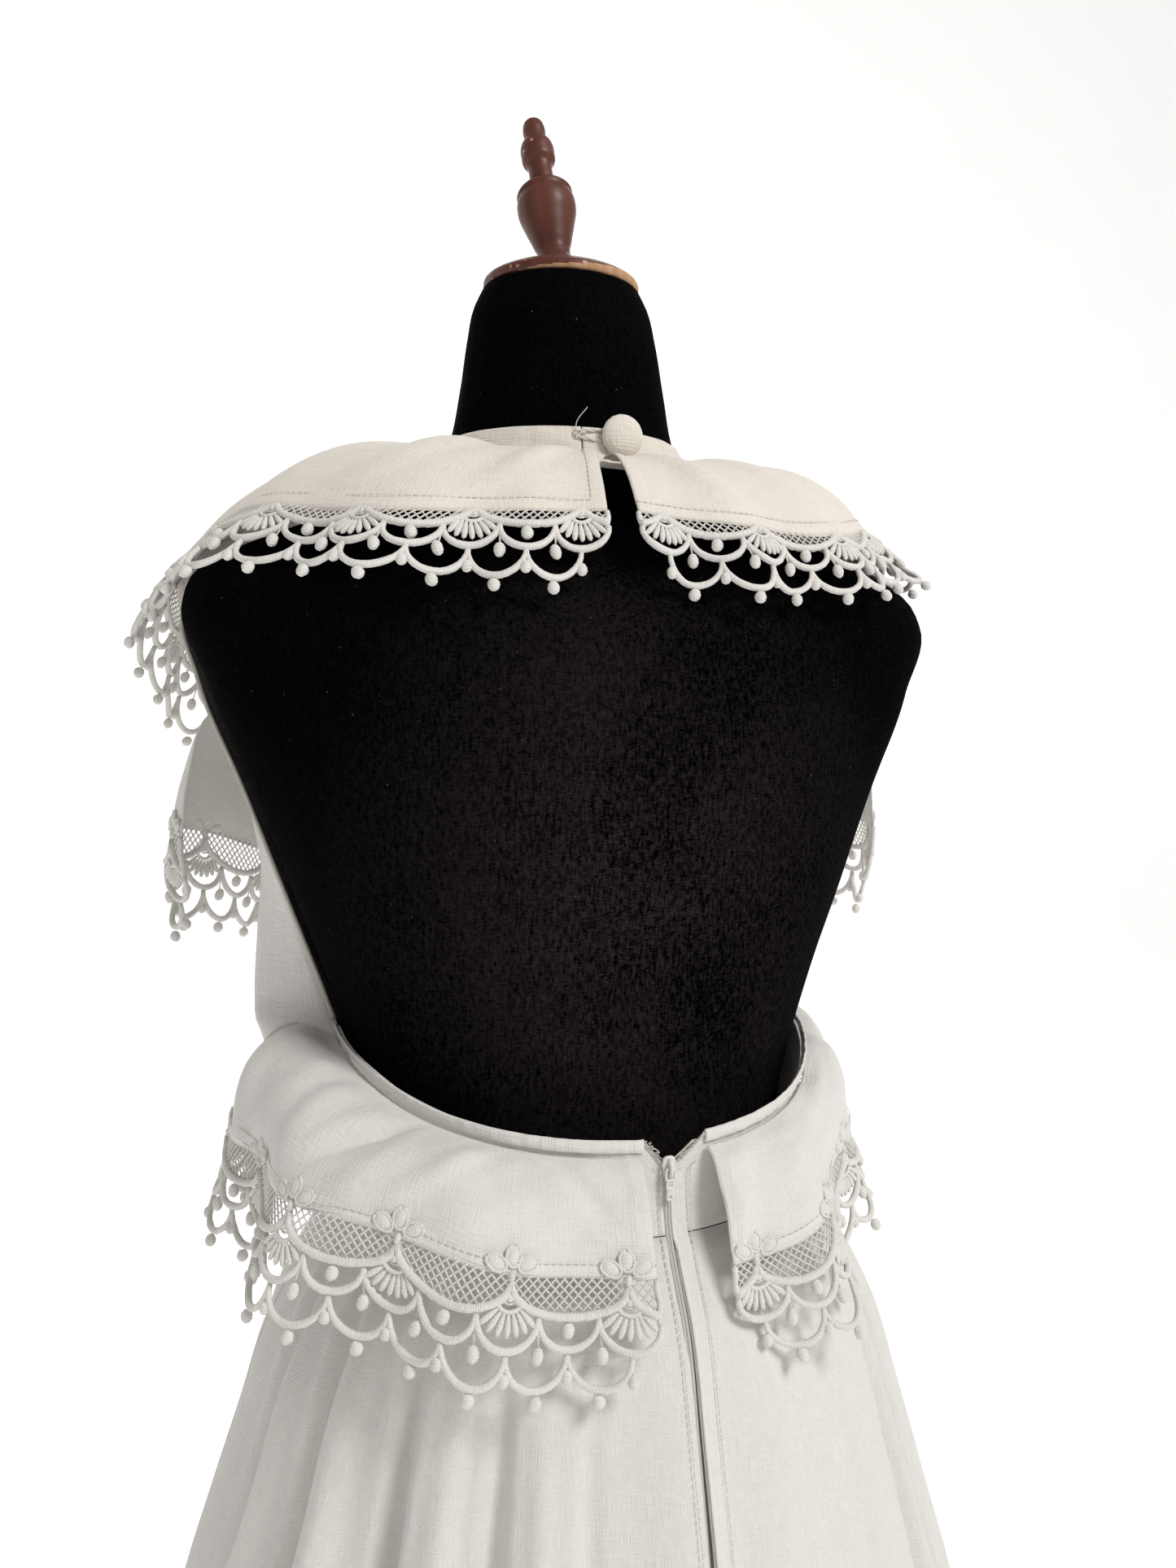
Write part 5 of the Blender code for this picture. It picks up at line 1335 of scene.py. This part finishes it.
class DRESS_OT_stitching(bpy.types.Operator):
    """Stitch lines above the lace, along the hems of the collar, beside the zip and at the hem"""

    bl_idname = "dress.stitching"
    bl_label = "Stitching"

    def execute(self, context):
        parts = []
        for name, (_, _, start, end, *_) in FLOUNCES.items():
            place = flounce(name)

            def lifted(a, b, place=place):
                return place(a, b) + normals(place, a, b) * 0.0006

            angle = np.linspace(start, end, 500)
            parts.append(stitches(lifted, angle, 0.93 + 0 * angle))
            if name == "collar_left":
                t = np.linspace(0.12, 0.93, 120)
                parts.append(stitches(lifted, start + 3.3 + 0 * t, t))

        def beside(a, b):
            angle = zip_angle(a, b)
            base = np.where((a > WAIST_Z)[..., None], bodice_point(angle, a), skirt_point(angle + 360.0, a))
            return base + outwards(angle) * 0.0014

        def hem(a, b):
            return skirt_surface(a % 360.0, b) + outwards(a) * 0.0002

        z = np.linspace(1.050, 0.70, 500)
        for side, beyond in ((1, 0.0034), (-1, 0.0098)):
            parts.append(stitches(beside, z, opening_x(z, side) + side * beyond, 0.00024))
        parts.append(stitches(hem, np.linspace(-5.0, 350.0, 1400), np.full(1400, HEM_Z + 0.028)))
        solid("stitch_lines", parts, "thread", "cotton")
        return {"FINISHED"}


class DRESS_OT_stage(bpy.types.Operator):
    """A pale floor that sweeps up into a backdrop, soft lights and the photograph's camera"""

    bl_idname = "dress.stage"
    bl_label = "Stage"

    def execute(self, context):
        turn = np.linspace(0, math.pi / 2, 16)
        y = np.concatenate([[5.0, 1.0, -1.6], -2.4 - 1.2 * np.sin(turn), [-3.6]])
        z = np.concatenate([[0.0, 0.0, 0.0], 1.2 - 1.2 * np.cos(turn), [6.0]])
        points = np.stack(np.broadcast_arrays(row(-7.0, 7.0, 9), y[:, None], z[:, None]), -1)
        tree, shade, look = shader("pale floor", Roughness=0.9, Emission_Color=(1.0, 1.0, 1.0, 1.0),
                                   Emission_Strength=0.45)
        pale = tinted(tree, noise(tree, place_of(tree), 3.0), (0.86, 0.86, 0.86), (0.90, 0.90, 0.90))
        tree.links.new(pale, shade.inputs["Base Color"])
        mesh = bpy.data.meshes.new("sweep")
        mesh.from_pydata(points.reshape(-1, 3).tolist(), [], grid_faces(*points.shape[:2]).tolist())
        mesh.shade_smooth()
        mesh.materials.append(look)
        self.add("sweep", mesh)
        self.light("key", (-1.3, 2.0, 3.5), 73.0, 1.1, (1.0, 0.985, 0.96))
        self.light("fill", (2.4, 1.5, 1.6), 2.0, 2.2, (1.0, 0.93, 0.86))
        self.light("front", (-0.6, -2.2, 2.6), 22.0, 2.0, (1.0, 0.97, 0.94))
        world = bpy.data.worlds.new("studio")
        context.scene.world = world
        world.use_nodes = True
        world.node_tree.nodes["Background"].inputs[0].default_value = (1.0, 0.97, 0.925, 1.0)
        world.node_tree.nodes["Background"].inputs[1].default_value = 0.34
        context.scene.view_settings.view_transform = "Standard"
        lens = bpy.data.cameras.new("camera")
        lens.lens, lens.sensor_width, lens.sensor_fit = 27.03, 36.0, "AUTO"
        lens.clip_start, lens.clip_end = 0.01, 100.0
        camera = self.add("camera", lens)
        camera.location = (0.17768, 0.54686, 1.243)
        camera.rotation_euler = [math.radians(part) for part in (85.8992, -1.157, 161.9329)]
        context.scene.camera = camera
        return {"FINISHED"}

    def add(self, name, data):
        """A new object in the scene."""
        made = bpy.data.objects.new(name, data)
        bpy.context.scene.collection.objects.link(made)
        return made

    def light(self, name, place, power, size, colour):
        """A square soft light that faces the middle of the dress."""
        lamp = bpy.data.lights.new(name, "AREA")
        lamp.energy, lamp.size, lamp.color = power, size, colour
        made = self.add(name, lamp)
        made.location = place
        away = made.location - type(made.location)((0.0, 0.0, 1.15))
        made.rotation_euler = away.to_track_quat("Z", "Y").to_euler()


OPERATORS = (DRESS_OT_form, DRESS_OT_zip, DRESS_OT_bodice, DRESS_OT_neckband, DRESS_OT_lace,
             DRESS_OT_flounces, DRESS_OT_skirt, DRESS_OT_stitching, DRESS_OT_stage)


class DRESS_PT_panel(bpy.types.Panel):
    """Lists the dress's pieces and sizes"""

    bl_idname = "DRESS_PT_panel"
    bl_label = "Lace dress"
    bl_space_type = "VIEW_3D"
    bl_region_type = "UI"
    bl_category = "Lace dress"

    def draw(self, context):
        for name in DressSizes.__annotations__:
            self.layout.prop(context.scene.dress_sizes, name)
        for operator in OPERATORS:
            self.layout.operator(operator.bl_idname)


def register():
    """Registers the sizes, the operators and the panel."""
    bpy.utils.register_class(DressSizes)
    bpy.types.Scene.dress_sizes = bpy.props.PointerProperty(type=DressSizes)
    for part in (*OPERATORS, DRESS_PT_panel):
        bpy.utils.register_class(part)


def unregister():
    """Removes them again."""
    for part in reversed((*OPERATORS, DRESS_PT_panel)):
        bpy.utils.unregister_class(part)
    del bpy.types.Scene.dress_sizes
    bpy.utils.unregister_class(DressSizes)


def main():
    register()
    make_looks()
    bpy.ops.dress.form()
    bpy.ops.dress.zip()
    bpy.ops.dress.bodice()
    bpy.ops.dress.neckband()
    bpy.ops.dress.lace()
    bpy.ops.dress.flounces()
    bpy.ops.dress.skirt()
    bpy.ops.dress.stitching()
    bpy.ops.dress.stage()


if __name__ == "__main__":
    main()
